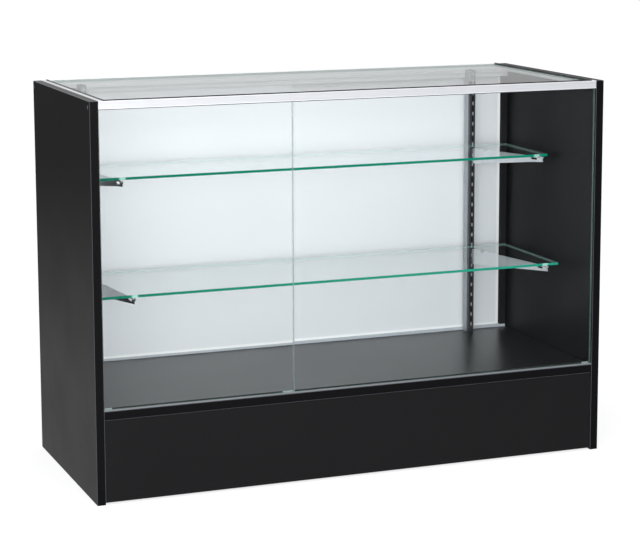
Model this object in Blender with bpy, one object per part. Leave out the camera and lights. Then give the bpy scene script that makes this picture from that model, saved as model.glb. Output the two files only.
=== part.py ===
# Full vision display case: black board ends and base, glass front and top in aluminium rails,
# two glass shelves on slotted standards, and two sliding doors with a plunger lock at the rear.
# Metres, +Z up, the front faces -Y. The origin is on the floor under the middle of the case.

import bmesh
import bpy
from math import cos, pi, radians, sin
from mathutils import Matrix, Vector

# Whole case
CASE_WIDTH = 1.2192
CASE_DEPTH = 0.508
CASE_HEIGHT = 0.8763
DECK_HEIGHT = 0.2066

# Fits shared by many pieces
TOUCH_GAP = 0.0003
CUT_OVERRUN = 0.002
ROUND_SIDES = 24
SCREW_SIDES = 16
SMOOTH_ANGLE = radians(35)
EDGE_ANGLE = radians(40)

# Boards
BOARD_THICKNESS = 0.01905
BOARD_EDGE_RADIUS = 0.0008
KICK_FLOOR_GAP = 0.004
KICK_SETBACK = 0.003

# Top rails and the gasket round the top glass
RAIL_HEIGHT = 0.01905
RAIL_WALL = 0.0018
RAIL_SETBACK = 0.0004
RAIL_LIP = 0.0005
LEDGE_THICKNESS = 0.0015
RIB_HEIGHT = 0.0022
RIB_RISE = 0.0006
SCREW_PORT_WIDTH = 0.0095
FRONT_LEDGE_LAP = 0.003
REAR_RAIL_DEPTH = 0.054
REAR_FLANGE_HEIGHT = 0.016
SIDE_RAIL_HEIGHT = 0.0160
SIDE_RAIL_WALL = 0.0015
SIDE_STRIP_WIDTH = 0.0105
SIDE_LEDGE_REACH = 0.008
GASKET_WIDTH = 0.0025
GASKET_RISE = 0.0022

# Glass
TOP_GLASS_THICKNESS = 0.006
FRONT_GLASS_THICKNESS = 0.006
SHELF_GLASS_THICKNESS = 0.006
GLASS_ARRIS = 0.0005
GLASS_PLAY = 0.0009
PANE_JOINT_GAP = 0.001
LEFT_PANE_WIDTH = 0.43355
PANE_END_GAP = 0.0015
PANE_TOP_GRIP = 0.0055

# Front bottom channel and its glazing blocks
CHANNEL_SETBACK = 0.0011
CHANNEL_WALL = 0.0010
CHANNEL_HEIGHT = 0.005
CHANNEL_LIP = 0.0035
BLOCK_THICKNESS = 0.0008
BLOCK_UPSTAND = 0.0019
BLOCK_RISE = 0.0036
BLOCK_PLAY = 0.0004
END_BLOCK_LENGTH = 0.016
END_BLOCK_INSET = 0.004
CENTRE_BLOCK_LENGTH = 0.028
CENTRE_BLOCK_OVERLAP = 0.004

# Sliding doors, their tracks and jambs
DOOR_THICKNESS = 0.006
DOOR_PLAY = 0.0007
DOOR_OVERLAP = 0.030
DOOR_EDGE_RADIUS = 0.0006
TRACK_WALL = 0.0014
LOWER_TRACK_HEIGHT = 0.006
UPPER_TRACK_HEIGHT = 0.0189
DOOR_TOP_GRIP = 0.0075
JAMB_WIDTH = 0.016
JAMB_GROOVE_DEPTH = 0.010
TRACK_SETBACK = 0.0018

# Finger pulls
PULL_RADIUS = 0.0127
PULL_WALL = 0.0012
PULL_DEPTH = 0.0046
PULL_FLOOR = 0.0008
PULL_FLANGE_RADIUS = 0.0155
PULL_FLANGE_THICKNESS = 0.0008
PULL_EDGE_DISTANCE = 0.060
PULL_HEIGHT_ABOVE_DECK = 0.330

# Plunger lock
LOCK_HEIGHT_ABOVE_DECK = 0.300
LOCK_BODY_RADIUS = 0.0095
LOCK_BODY_LENGTH = 0.018
LOCK_FLANGE_RADIUS = 0.0130
LOCK_FLANGE_THICKNESS = 0.002
PLUNGER_RADIUS = 0.0062
PLUNGER_STANDOFF = 0.003
PLUNGER_PROJECTION = 0.004
PLUNGER_PIN_RADIUS = 0.0035
PLUNGER_PIN_SETBACK = 0.0005
KEY_PLUG_RADIUS = 0.0042
KEY_PLUG_LENGTH = 0.012
KEY_SLOT_WIDTH = 0.0012
KEY_SLOT_HEIGHT = 0.0056
KEY_SLOT_DEPTH = 0.004
RECEIVER_RADIUS = 0.006
RECEIVER_DEPTH = 0.0035

# Rear posts and slotted standards
LEFT_STANDARD_INSET = 0.07855
RIGHT_STANDARD_INSET = 0.11255
STANDARD_WIDTH = 0.0143
STANDARD_DEPTH = 0.010
STANDARD_WEB = 0.0015
STANDARD_FLANGE = 0.0012
STANDARD_RIB_WIDTH = 0.0046
STANDARD_RIB_RISE = 0.0005
SLOT_PITCH = 0.0254
SLOT_WIDTH = 0.004
SLOT_HEIGHT = 0.0127
SLOT_CORNER = 0.0009
FIRST_SLOT = 0.0272
TOP_SLOT_MARGIN = 0.0365
POST_DEPTH = 0.021
POST_WALL = 0.0012
POST_TOP_GAP = 0.001
UPPER_FIXING_DROP = 0.0105
LOWER_FIXING_DROP = 0.0265

# Shelves and brackets
UPPER_SHELF_DEPTH = 0.222
LOWER_SHELF_DEPTH = 0.286
SHELF_END_GAP = 0.02255
SHELF_STANDARD_GAP = 0.005
UPPER_SHELF_SLOT = 17
LOWER_SHELF_SLOT = 7
UPPER_BRACKET_LENGTH = 0.238
LOWER_BRACKET_LENGTH = 0.2985
BRACKET_THICKNESS = 0.0018
BRACKET_HEAD = 0.0095
BRACKET_FOOT = 0.0030
BRACKET_NOSE_HEIGHT = 0.012
BRACKET_NOSE_SLOPE = 0.002
BRACKET_NOTCH_DEPTH = 0.004
BRACKET_NOTCH_DROP = 0.0055
BRACKET_KNEE_PLACE = 0.034
BRACKET_KNEE_HEIGHT = 0.0145
BRACKET_HEEL = 0.012
BRACKET_HOLE_PLACE = 0.031
BRACKET_HOLE_LENGTH = 0.020
BRACKET_HOLE_HEIGHT = 0.0055
OVAL_START_SHARE = 0.5
HOOK_NECK = 0.006
HOOK_DROP = 0.005
HOOK_THICKNESS = 0.0022
HOOK_PLAY = 0.0007
UPPER_RIGHT_TOE = radians(20.5)
LOWER_RIGHT_TOE = radians(12.5)
LEFT_TOE = radians(6)

# Clear rests on the brackets
REST_WIDTH = 0.006
REST_LENGTH = 0.010
REST_THICKNESS = 0.002
REST_SKIRT = 0.004
REST_REAR_PLACE = 0.045
REST_NOSE_PLACE = 0.014

# Screws and cam fittings
SCREW_HEAD_RADIUS = 0.0038
SCREW_HEAD_THICKNESS = 0.0018
SCREW_SHANK_RADIUS = 0.002
SCREW_RAIL_DEPTH = 0.014
SMALL_HEAD_RADIUS = 0.0028
SMALL_HEAD_THICKNESS = 0.0014
SMALL_SHANK_RADIUS = 0.0014
SMALL_SCREW_GRIP = 0.004
CAM_RADIUS = 0.0075
CAM_DEPTH = 0.012
CAM_SLOT_WIDTH = 0.0016
CAM_SLOT_DEPTH = 0.002
CAM_END_DISTANCE = 0.034
CAM_DEPTH_SPREAD = 0.170
DOME_SHARE = 0.7

# Places worked out from the sizes above
INNER_HALF = CASE_WIDTH / 2 - BOARD_THICKNESS
FRONT = -CASE_DEPTH / 2
REAR = CASE_DEPTH / 2
LEDGE_TOP = RAIL_LIP + TOP_GLASS_THICKNESS + TOUCH_GAP
LEDGE_BOTTOM = LEDGE_TOP + LEDGE_THICKNESS
RAIL_FACE = FRONT + RAIL_SETBACK
WEB_INNER = RIB_RISE + RAIL_WALL
PANE_FRONT = RAIL_FACE + WEB_INNER + GLASS_PLAY
PANE_REAR = PANE_FRONT + FRONT_GLASS_THICKNESS
LEFT_PANE_END = PANE_END_GAP + LEFT_PANE_WIDTH - INNER_HALF
PANE_JOINT_PLACE = LEFT_PANE_END + PANE_JOINT_GAP / 2
PORT_INNER = WEB_INNER + GLASS_PLAY + FRONT_GLASS_THICKNESS + GLASS_PLAY
PORT_OUTER = PORT_INNER + SCREW_PORT_WIDTH
PORT_HEIGHT = CASE_HEIGHT - (LEDGE_BOTTOM + RAIL_HEIGHT) / 2
REAR_PORT_OUTER = RAIL_WALL + SCREW_PORT_WIDTH
FRONT_LEDGE_END = RAIL_FACE + PORT_OUTER + FRONT_LEDGE_LAP
REAR_WEB_FRONT = REAR - RAIL_SETBACK - RAIL_WALL
GASKET_SIDE = INNER_HALF - SIDE_STRIP_WIDTH - 2 * TOUCH_GAP
GASKET_FRONT = RAIL_FACE + WEB_INNER + TOUCH_GAP
REAR_RAIL_FRONT = REAR - RAIL_SETBACK - REAR_RAIL_DEPTH
DOOR_PITCH = DOOR_THICKNESS + 2 * DOOR_PLAY + TRACK_WALL
TRACK_DEPTH = 2 * DOOR_PITCH + TRACK_WALL
TRACK_FRONT = REAR_RAIL_FRONT + TRACK_SETBACK + TOUCH_GAP
LEFT_DOOR_FRONT = TRACK_FRONT + TRACK_WALL + DOOR_PLAY
RIGHT_DOOR_FRONT = LEFT_DOOR_FRONT + DOOR_PITCH
LOWER_TRACK_TOP = DECK_HEIGHT + TOUCH_GAP + LOWER_TRACK_HEIGHT
UPPER_TRACK_BASE = CASE_HEIGHT - LEDGE_BOTTOM - TOUCH_GAP
UPPER_TRACK_BOTTOM = UPPER_TRACK_BASE - UPPER_TRACK_HEIGHT
DOOR_BOTTOM = DECK_HEIGHT + TRACK_WALL + 2 * TOUCH_GAP
DOOR_TOP = UPPER_TRACK_BOTTOM + DOOR_TOP_GRIP
DOOR_SIDE = INNER_HALF - JAMB_WIDTH + JAMB_GROOVE_DEPTH - 2 * TOUCH_GAP
LOCK_HEIGHT = DECK_HEIGHT + LOCK_HEIGHT_ABOVE_DECK
DOOR_REAR = RIGHT_DOOR_FRONT + DOOR_THICKNESS
LEFT_STANDARD_PLACE = LEFT_STANDARD_INSET - INNER_HALF
RIGHT_STANDARD_PLACE = INNER_HALF - RIGHT_STANDARD_INSET
STANDARD_PLACES = {"left": LEFT_STANDARD_PLACE, "right": RIGHT_STANDARD_PLACE}
STANDARD_REAR = REAR_RAIL_FRONT - POST_DEPTH - 2 * TOUCH_GAP
STANDARD_FRONT = STANDARD_REAR - STANDARD_DEPTH
WEB_MIDDLE = STANDARD_FRONT + STANDARD_WEB / 2
STANDARD_BOTTOM = DECK_HEIGHT + TOUCH_GAP
STANDARD_TOP = CASE_HEIGHT - RAIL_LIP - TOP_GLASS_THICKNESS - POST_TOP_GAP
SHELF_REAR = STANDARD_FRONT - STANDARD_RIB_RISE - SHELF_STANDARD_GAP
SHELF_END = INNER_HALF - SHELF_END_GAP
SHELF_LIFT = BRACKET_HEAD + REST_THICKNESS + 2 * TOUCH_GAP


def clear_scene():
    """Remove every object that the scene opened with."""
    for thing in list(bpy.data.objects):
        bpy.data.objects.remove(thing, do_unlink=True)


def make_material(name, colour, roughness, metallic=0.0, transmission=0.0):
    """A Principled material in the finish of one kind of piece."""
    material = bpy.data.materials.new(name)
    material.use_nodes = True
    shader = material.node_tree.nodes["Principled BSDF"]
    shader.inputs["Base Color"].default_value = (*colour, 1.0)
    shader.inputs["Roughness"].default_value = roughness
    shader.inputs["Metallic"].default_value = metallic
    shader.inputs["Transmission Weight"].default_value = transmission
    return material


def add_object(name, mesh, material=None, location=(0, 0, 0), parent=None):
    """Put a mesh into the scene as one named piece."""
    thing = bpy.data.objects.new(name, mesh)
    bpy.context.scene.collection.objects.link(thing)
    thing.location = location
    thing.parent = parent
    if material is not None:
        mesh.materials.append(material)
    return thing


def mesh_from(shape, name):
    """Turn a bmesh into a mesh with its faces pointing out."""
    bmesh.ops.recalc_face_normals(shape, faces=shape.faces)
    mesh = bpy.data.meshes.new(name)
    shape.to_mesh(mesh)
    shape.free()
    return mesh


def box_mesh(name, low, high):
    """A plain box between two corners."""
    shape = bmesh.new()
    size = Vector(high) - Vector(low)
    middle = (Vector(high) + Vector(low)) / 2
    placing = Matrix.Translation(middle) @ Matrix.Diagonal((*size, 1))
    bmesh.ops.create_cube(shape, size=1, matrix=placing)
    return mesh_from(shape, name)


def prism_mesh(name, outline, along, start, end):
    """Extrude a closed outline along one axis; the outline is in the other two axes, in order."""
    shape = bmesh.new()
    places = {"X": lambda a, b: (start, a, b), "Y": lambda a, b: (a, start, b),
              "Z": lambda a, b: (a, b, start)}
    corners = [shape.verts.new(places[along](a, b)) for a, b in outline]
    face = shape.faces.new(corners)
    grown = bmesh.ops.extrude_face_region(shape, geom=[face])
    moved = [item for item in grown["geom"] if isinstance(item, bmesh.types.BMVert)]
    step = {"X": (end - start, 0, 0), "Y": (0, end - start, 0), "Z": (0, 0, end - start)}[along]
    bmesh.ops.translate(shape, verts=moved, vec=step)
    return mesh_from(shape, name)


def turned_mesh(name, profile, sides):
    """Spin a profile of (radius, height) points about Z; it starts and ends on the axis."""
    shape = bmesh.new()
    rings = []
    for radius, height in profile:
        if radius == 0:
            rings.append([shape.verts.new((0, 0, height))])
            continue
        angles = [2 * pi * step / sides for step in range(sides)]
        rings.append([shape.verts.new((radius * cos(a), radius * sin(a), height)) for a in angles])
    for lower, upper in zip(rings, rings[1:]):
        for step in range(sides):
            following = (step + 1) % sides
            corners = [lower[step % len(lower)], lower[following % len(lower)]]
            corners += [upper[following % len(upper)], upper[step % len(upper)]]
            unique = list(dict.fromkeys(corners))
            shape.faces.new(unique)
    mesh = mesh_from(shape, name)
    mesh.shade_smooth()
    mesh.set_sharp_from_angle(angle=SMOOTH_ANGLE)
    return mesh


def round_edges(thing, width, segments=2):
    """Ease the edges of a piece, as its edge band or its arris does."""
    bevel = thing.modifiers.new("edges", "BEVEL")
    bevel.width = width
    bevel.segments = segments
    bevel.limit_method = "ANGLE"
    bevel.angle_limit = EDGE_ANGLE


def cut(thing, cutter_mesh, location=(0, 0, 0), rotation=(0, 0, 0)):
    """Take a shape out of a piece."""
    cutter = add_object(thing.name + "_cutter", cutter_mesh, location=location)
    cutter.rotation_euler = rotation
    cutter.hide_render = True
    cutter.display_type = "WIRE"
    hole = thing.modifiers.new("hole", "BOOLEAN")
    hole.operation = "DIFFERENCE"
    hole.solver = "EXACT"
    hole.object = cutter


def board(name, low, high, material):
    """A melamine board with slightly eased edges."""
    thing = add_object(name, box_mesh(name, low, high), material)
    round_edges(thing, BOARD_EDGE_RADIUS)
    return thing


def glass(name, low, high, material):
    """A sheet of flat glass with ground arrises."""
    thing = add_object(name, box_mesh(name, low, high), material)
    round_edges(thing, GLASS_ARRIS, segments=1)
    return thing


def stepped_hole_mesh(name, head_radius, head_depth, shank_radius, depth):
    """The cutter for a counterbored screw hole, whose mouth is at the origin; it goes down -Z."""
    profile = [(0, CUT_OVERRUN), (head_radius, CUT_OVERRUN), (head_radius, -head_depth)]
    profile += [(shank_radius, -head_depth), (shank_radius, -depth), (0, -depth)]
    return turned_mesh(name, profile, SCREW_SIDES)


def screw_mesh(name, head_radius, head_thickness, shank_radius, length):
    """A screw whose head sits on the plane z = 0 and whose shank goes down -Z."""
    dome_radius = head_radius * DOME_SHARE
    profile = [(0, head_thickness), (dome_radius, head_thickness), (head_radius, head_thickness / 2)]
    profile += [(head_radius, 0), (shank_radius, 0), (shank_radius, -length), (0, -length)]
    return turned_mesh(name, profile, SCREW_SIDES)


def rail_screw_places():
    """Heights and depths of the screws that hold the rails' ends."""
    front_place = RAIL_FACE + (PORT_INNER + PORT_OUTER) / 2
    rear_place = REAR - (RAIL_WALL + REAR_PORT_OUTER) / 2
    return {"front": front_place, "rear": rear_place}


def add_end_panels(material):
    """The two end boards, bored for the rail screws."""
    for side_name, side in (("left", -1), ("right", 1)):
        inner = side * INNER_HALF
        outer = side * CASE_WIDTH / 2
        low = (min(inner, outer), FRONT, 0)
        high = (max(inner, outer), REAR, CASE_HEIGHT)
        panel = board(side_name + "_end_panel", low, high, material)
        for depth in rail_screw_places().values():
            hole = stepped_hole_mesh("screw_hole", SCREW_HEAD_RADIUS + TOUCH_GAP,
                                     SCREW_HEAD_THICKNESS + TOUCH_GAP,
                                     SCREW_SHANK_RADIUS + TOUCH_GAP, BOARD_THICKNESS + CUT_OVERRUN)
            cut(panel, hole, (outer, depth, PORT_HEIGHT), (0, side * pi / 2, 0))


def cam_places():
    """Where the cam fittings sit under the deck: name, x and y."""
    reach = INNER_HALF - CAM_END_DISTANCE
    for side_name, side in (("left", -1), ("right", 1)):
        for depth_name, depth in (("front", -1), ("rear", 1)):
            yield f"{side_name}_{depth_name}", side * reach, depth * CAM_DEPTH_SPREAD


def add_base(material):
    """The deck with its cam bores, the kick and rear base panels, and the rib between them."""
    reach = INNER_HALF - TOUCH_GAP
    underside = DECK_HEIGHT - BOARD_THICKNESS
    deck = board("deck_panel", (-reach, FRONT, underside), (reach, REAR, DECK_HEIGHT), material)
    for _, across, depth in cam_places():
        profile = [(0, -CUT_OVERRUN), (CAM_RADIUS + TOUCH_GAP, -CUT_OVERRUN)]
        profile += [(CAM_RADIUS + TOUCH_GAP, CAM_DEPTH + TOUCH_GAP), (0, CAM_DEPTH + TOUCH_GAP)]
        cut(deck, turned_mesh("cam_bore", profile, ROUND_SIDES), (across, depth, underside))
    top = underside - TOUCH_GAP
    kick_front = FRONT + KICK_SETBACK
    kick_rear = kick_front + BOARD_THICKNESS
    board("front_kick_panel", (-reach, kick_front, KICK_FLOOR_GAP), (reach, kick_rear, top), material)
    base_rear = REAR - KICK_SETBACK
    base_front = base_rear - BOARD_THICKNESS
    board("rear_base_panel", (-reach, base_front, KICK_FLOOR_GAP), (reach, base_rear, top), material)
    half = BOARD_THICKNESS / 2
    board("deck_support_rib", (-half, kick_rear + TOUCH_GAP, KICK_FLOOR_GAP),
          (half, base_front - TOUCH_GAP, top), material)


def add_cam_fittings(material):
    """Zinc cam fittings that draw the deck to the end panels, with a driver slot below."""
    underside = DECK_HEIGHT - BOARD_THICKNESS
    for place_name, across, depth in cam_places():
        profile = [(0, 0), (CAM_RADIUS, 0), (CAM_RADIUS, CAM_DEPTH), (0, CAM_DEPTH)]
        cam = add_object(place_name + "_cam_fitting", turned_mesh("cam", profile, ROUND_SIDES),
                         material, (across, depth, underside))
        reach = CAM_RADIUS + CUT_OVERRUN
        slot = box_mesh("cam_slot", (-reach, -CAM_SLOT_WIDTH / 2, -CUT_OVERRUN),
                        (reach, CAM_SLOT_WIDTH / 2, CAM_SLOT_DEPTH))
        cut(cam, slot, (across, depth, underside))


def front_rail_outline():
    """Section of the front rail: ribbed face, ledge for the top glass, groove for the panes."""
    bottom = CASE_HEIGHT - RAIL_HEIGHT
    ledge_top = CASE_HEIGHT - LEDGE_TOP
    ledge_bottom = CASE_HEIGHT - LEDGE_BOTTOM
    points = [(0, CASE_HEIGHT), (0, CASE_HEIGHT - RIB_HEIGHT)]
    points += [(RIB_RISE, CASE_HEIGHT - RIB_HEIGHT - RIB_RISE), (RIB_RISE, bottom + RIB_HEIGHT + RIB_RISE)]
    points += [(0, bottom + RIB_HEIGHT), (0, bottom), (WEB_INNER, bottom), (WEB_INNER, ledge_bottom)]
    points += [(PORT_INNER, ledge_bottom), (PORT_INNER, bottom), (PORT_OUTER, bottom)]
    points += [(PORT_OUTER, ledge_bottom), (PORT_OUTER + FRONT_LEDGE_LAP, ledge_bottom)]
    points += [(PORT_OUTER + FRONT_LEDGE_LAP, ledge_top), (WEB_INNER, ledge_top), (WEB_INNER, CASE_HEIGHT)]
    return [(RAIL_FACE + depth, height) for depth, height in points]


def rear_rail_outline():
    """Section of the rear rail: rear web with a lip, deep ledge, and a front flange."""
    bottom = CASE_HEIGHT - RAIL_HEIGHT
    ledge_top = CASE_HEIGHT - LEDGE_TOP
    ledge_bottom = CASE_HEIGHT - LEDGE_BOTTOM
    flange_inner = REAR_RAIL_DEPTH - RAIL_WALL
    flange_bottom = CASE_HEIGHT - REAR_FLANGE_HEIGHT
    points = [(0, CASE_HEIGHT), (0, bottom), (REAR_PORT_OUTER, bottom), (REAR_PORT_OUTER, ledge_bottom)]
    points += [(flange_inner, ledge_bottom), (flange_inner, flange_bottom)]
    points += [(REAR_RAIL_DEPTH, flange_bottom), (REAR_RAIL_DEPTH, ledge_top)]
    points += [(RAIL_WALL, ledge_top), (RAIL_WALL, CASE_HEIGHT)]
    return [(REAR - RAIL_SETBACK - depth, height) for depth, height in points]


def side_rail_outline(side):
    """Section of a side rail: a leg on the end panel, a flat strip on top, and a step down to the ledge."""
    bottom = CASE_HEIGHT - SIDE_RAIL_HEIGHT
    under_strip = CASE_HEIGHT - SIDE_RAIL_WALL
    ledge_top = CASE_HEIGHT - LEDGE_TOP
    ledge_bottom = CASE_HEIGHT - LEDGE_BOTTOM
    step_inner = SIDE_STRIP_WIDTH - SIDE_RAIL_WALL
    ledge_end = SIDE_STRIP_WIDTH + SIDE_LEDGE_REACH
    points = [(0, CASE_HEIGHT), (0, bottom), (SIDE_RAIL_WALL, bottom), (SIDE_RAIL_WALL, under_strip)]
    points += [(step_inner, under_strip), (step_inner, ledge_bottom), (ledge_end, ledge_bottom)]
    points += [(ledge_end, ledge_top), (SIDE_STRIP_WIDTH, ledge_top), (SIDE_STRIP_WIDTH, CASE_HEIGHT)]
    return [(side * (INNER_HALF - TOUCH_GAP - inward), height) for inward, height in points]


def add_top_rails(material):
    """Four aluminium rails: the front and rear ones bored for screws, the side ones coped over them."""
    reach = INNER_HALF - TOUCH_GAP
    outlines = {"front": front_rail_outline(), "rear": rear_rail_outline()}
    for rail_name, outline in outlines.items():
        mesh = prism_mesh(rail_name, outline, "X", -reach, reach)
        rail = add_object(rail_name + "_top_rail", mesh, material)
        depth = rail_screw_places()[rail_name]
        for side in (-1, 1):
            radius = SCREW_SHANK_RADIUS + TOUCH_GAP
            bore = SCREW_RAIL_DEPTH + TOUCH_GAP
            profile = [(0, CUT_OVERRUN), (radius, CUT_OVERRUN), (radius, -bore), (0, -bore)]
            cut(rail, turned_mesh("rail_bore", profile, SCREW_SIDES),
                (side * reach, depth, PORT_HEIGHT), (0, side * pi / 2, 0))
    start = RAIL_FACE + WEB_INNER + TOUCH_GAP
    stop = REAR_WEB_FRONT - TOUCH_GAP
    under = CASE_HEIGHT - SIDE_RAIL_HEIGHT - CUT_OVERRUN
    over = CASE_HEIGHT - LEDGE_TOP + TOUCH_GAP
    copes = {start - CUT_OVERRUN: FRONT_LEDGE_END + TOUCH_GAP,
             REAR_RAIL_FRONT - TOUCH_GAP: stop + CUT_OVERRUN}
    for side_name, side in (("left", -1), ("right", 1)):
        mesh = prism_mesh(side_name, side_rail_outline(side), "Y", start, stop)
        rail = add_object(side_name + "_side_rail", mesh, material)
        outer = side * (INNER_HALF + CUT_OVERRUN)
        inner = side * (GASKET_SIDE - SIDE_LEDGE_REACH - CUT_OVERRUN)
        for cope_start, cope_stop in copes.items():
            low = (min(outer, inner), cope_start, under)
            cut(rail, box_mesh("cope", low, (max(outer, inner), cope_stop, over)))


def add_top_gasket(material):
    """The black gasket between the rails and the top glass at the front and both sides, a little proud."""
    side = GASKET_SIDE
    inner = side - GASKET_WIDTH
    rear = REAR_WEB_FRONT - TOUCH_GAP
    outline = [(-side, rear), (-side, GASKET_FRONT), (side, GASKET_FRONT), (side, rear)]
    outline += [(inner, rear), (inner, GASKET_FRONT + GASKET_WIDTH)]
    outline += [(-inner, GASKET_FRONT + GASKET_WIDTH), (-inner, rear)]
    seat = CASE_HEIGHT - LEDGE_TOP + TOUCH_GAP
    mesh = prism_mesh("gasket", outline, "Z", seat, CASE_HEIGHT + GASKET_RISE)
    add_object("top_glass_gasket", mesh, material)


def add_rail_screws(material):
    """One screw through each end panel into each end of the front and rear rails."""
    length = BOARD_THICKNESS - SCREW_HEAD_THICKNESS - TOUCH_GAP + SCREW_RAIL_DEPTH
    for rail_name, depth in rail_screw_places().items():
        for side_name, side in (("left", -1), ("right", 1)):
            mesh = screw_mesh("rail_screw", SCREW_HEAD_RADIUS, SCREW_HEAD_THICKNESS,
                              SCREW_SHANK_RADIUS, length)
            place = (side * (CASE_WIDTH / 2 - SCREW_HEAD_THICKNESS), depth, PORT_HEIGHT)
            screw = add_object(f"{side_name}_{rail_name}_rail_screw", mesh, material, place)
            screw.rotation_euler = (0, side * pi / 2, 0)


def add_glass_case(material):
    """The top glass and the two front panes."""
    reach = GASKET_SIDE - GASKET_WIDTH - TOUCH_GAP
    top = CASE_HEIGHT - RAIL_LIP
    front = GASKET_FRONT + GASKET_WIDTH + TOUCH_GAP
    rear = REAR_WEB_FRONT - GLASS_PLAY
    glass("top_glass", (-reach, front, top - TOP_GLASS_THICKNESS), (reach, rear, top), material)
    bottom = DECK_HEIGHT + CHANNEL_WALL + BLOCK_THICKNESS + 3 * TOUCH_GAP
    pane_top = CASE_HEIGHT - RAIL_HEIGHT + PANE_TOP_GRIP
    end = INNER_HALF - PANE_END_GAP
    right_start = LEFT_PANE_END + PANE_JOINT_GAP
    glass("front_glass_left", (-end, PANE_FRONT, bottom), (LEFT_PANE_END, PANE_REAR, pane_top), material)
    glass("front_glass_right", (right_start, PANE_FRONT, bottom), (end, PANE_REAR, pane_top), material)


def channel_inner_walls():
    """Depths of the two inner faces of the front bottom channel."""
    front = FRONT + CHANNEL_SETBACK + CHANNEL_WALL
    rear = PANE_REAR + BLOCK_UPSTAND + 2 * BLOCK_PLAY
    return front, rear


def add_front_channel(material):
    """The aluminium channel on the front edge of the deck: a low lip in front, a taller wall behind."""
    front, rear = channel_inner_walls()
    bottom = DECK_HEIGHT + TOUCH_GAP
    floor = bottom + CHANNEL_WALL
    top = bottom + CHANNEL_HEIGHT
    lip = bottom + CHANNEL_LIP
    outline = [(front - CHANNEL_WALL, bottom), (rear + CHANNEL_WALL, bottom), (rear + CHANNEL_WALL, top)]
    outline += [(rear, top), (rear, floor), (front, floor), (front, lip), (front - CHANNEL_WALL, lip)]
    reach = INNER_HALF - TOUCH_GAP
    add_object("front_glass_channel", prism_mesh("channel", outline, "X", -reach, reach), material)


def add_glazing_blocks(material):
    """L-shaped blocks: the foot carries the panes, the upstand wedges them to the front."""
    front, rear = channel_inner_walls()
    bottom = DECK_HEIGHT + CHANNEL_WALL + 2 * TOUCH_GAP
    seat = bottom + BLOCK_THICKNESS
    back = rear - BLOCK_PLAY
    outline = [(front + BLOCK_PLAY, bottom), (back, bottom), (back, bottom + BLOCK_RISE)]
    outline += [(back - BLOCK_UPSTAND, bottom + BLOCK_RISE), (back - BLOCK_UPSTAND, seat)]
    outline += [(front + BLOCK_PLAY, seat)]
    end = INNER_HALF - END_BLOCK_INSET
    joint = PANE_JOINT_PLACE + CENTRE_BLOCK_OVERLAP
    spans = {"left": (-end, -end + END_BLOCK_LENGTH), "centre": (joint - CENTRE_BLOCK_LENGTH, joint),
             "right": (end - END_BLOCK_LENGTH, end)}
    for block_name, (start, stop) in spans.items():
        add_object(block_name + "_glazing_block", prism_mesh("block", outline, "X", start, stop), material)


def door_channel_outline(base, leg):
    """Section of a two-groove door channel: depth from its front face, and height above its base."""
    groove = DOOR_THICKNESS + 2 * DOOR_PLAY
    points = [(0, 0), (TRACK_DEPTH, 0), (TRACK_DEPTH, leg)]
    for number in (1, 0):
        inner = TRACK_WALL + number * DOOR_PITCH
        points += [(inner + groove, leg), (inner + groove, base), (inner, base), (inner, leg)]
    points += [(0, leg)]
    return points


def add_tracks_and_jambs(track_material, jamb_material):
    """Lower and upper tracks between the end panels, and a jamb on each end panel."""
    reach = INNER_HALF - TOUCH_GAP
    floor = DECK_HEIGHT + TOUCH_GAP
    lower = [(TRACK_FRONT + depth, floor + rise) for depth, rise in
             door_channel_outline(TRACK_WALL, LOWER_TRACK_HEIGHT)]
    add_object("lower_door_track", prism_mesh("track", lower, "X", -reach, reach), track_material)
    upper = [(TRACK_FRONT + depth, UPPER_TRACK_BASE - rise) for depth, rise in
             door_channel_outline(TRACK_WALL, UPPER_TRACK_HEIGHT)]
    add_object("upper_door_track", prism_mesh("track", upper, "X", -reach, reach), track_material)
    base = JAMB_WIDTH - JAMB_GROOVE_DEPTH
    bottom = LOWER_TRACK_TOP + TOUCH_GAP
    top = UPPER_TRACK_BOTTOM - TOUCH_GAP
    for side_name, side in (("left", -1), ("right", 1)):
        outline = [(side * (reach - rise), TRACK_FRONT + depth) for depth, rise in
                   door_channel_outline(base, JAMB_WIDTH - TOUCH_GAP)]
        add_object(side_name + "_door_jamb", prism_mesh("jamb", outline, "Z", bottom, top), jamb_material)


def pocket_mesh(radius, depth):
    """A round cutter that goes depth into a face whose outside is +Z."""
    profile = [(0, CUT_OVERRUN), (radius, CUT_OVERRUN), (radius, -depth), (0, -depth)]
    return turned_mesh("pocket", profile, ROUND_SIDES)


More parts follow.
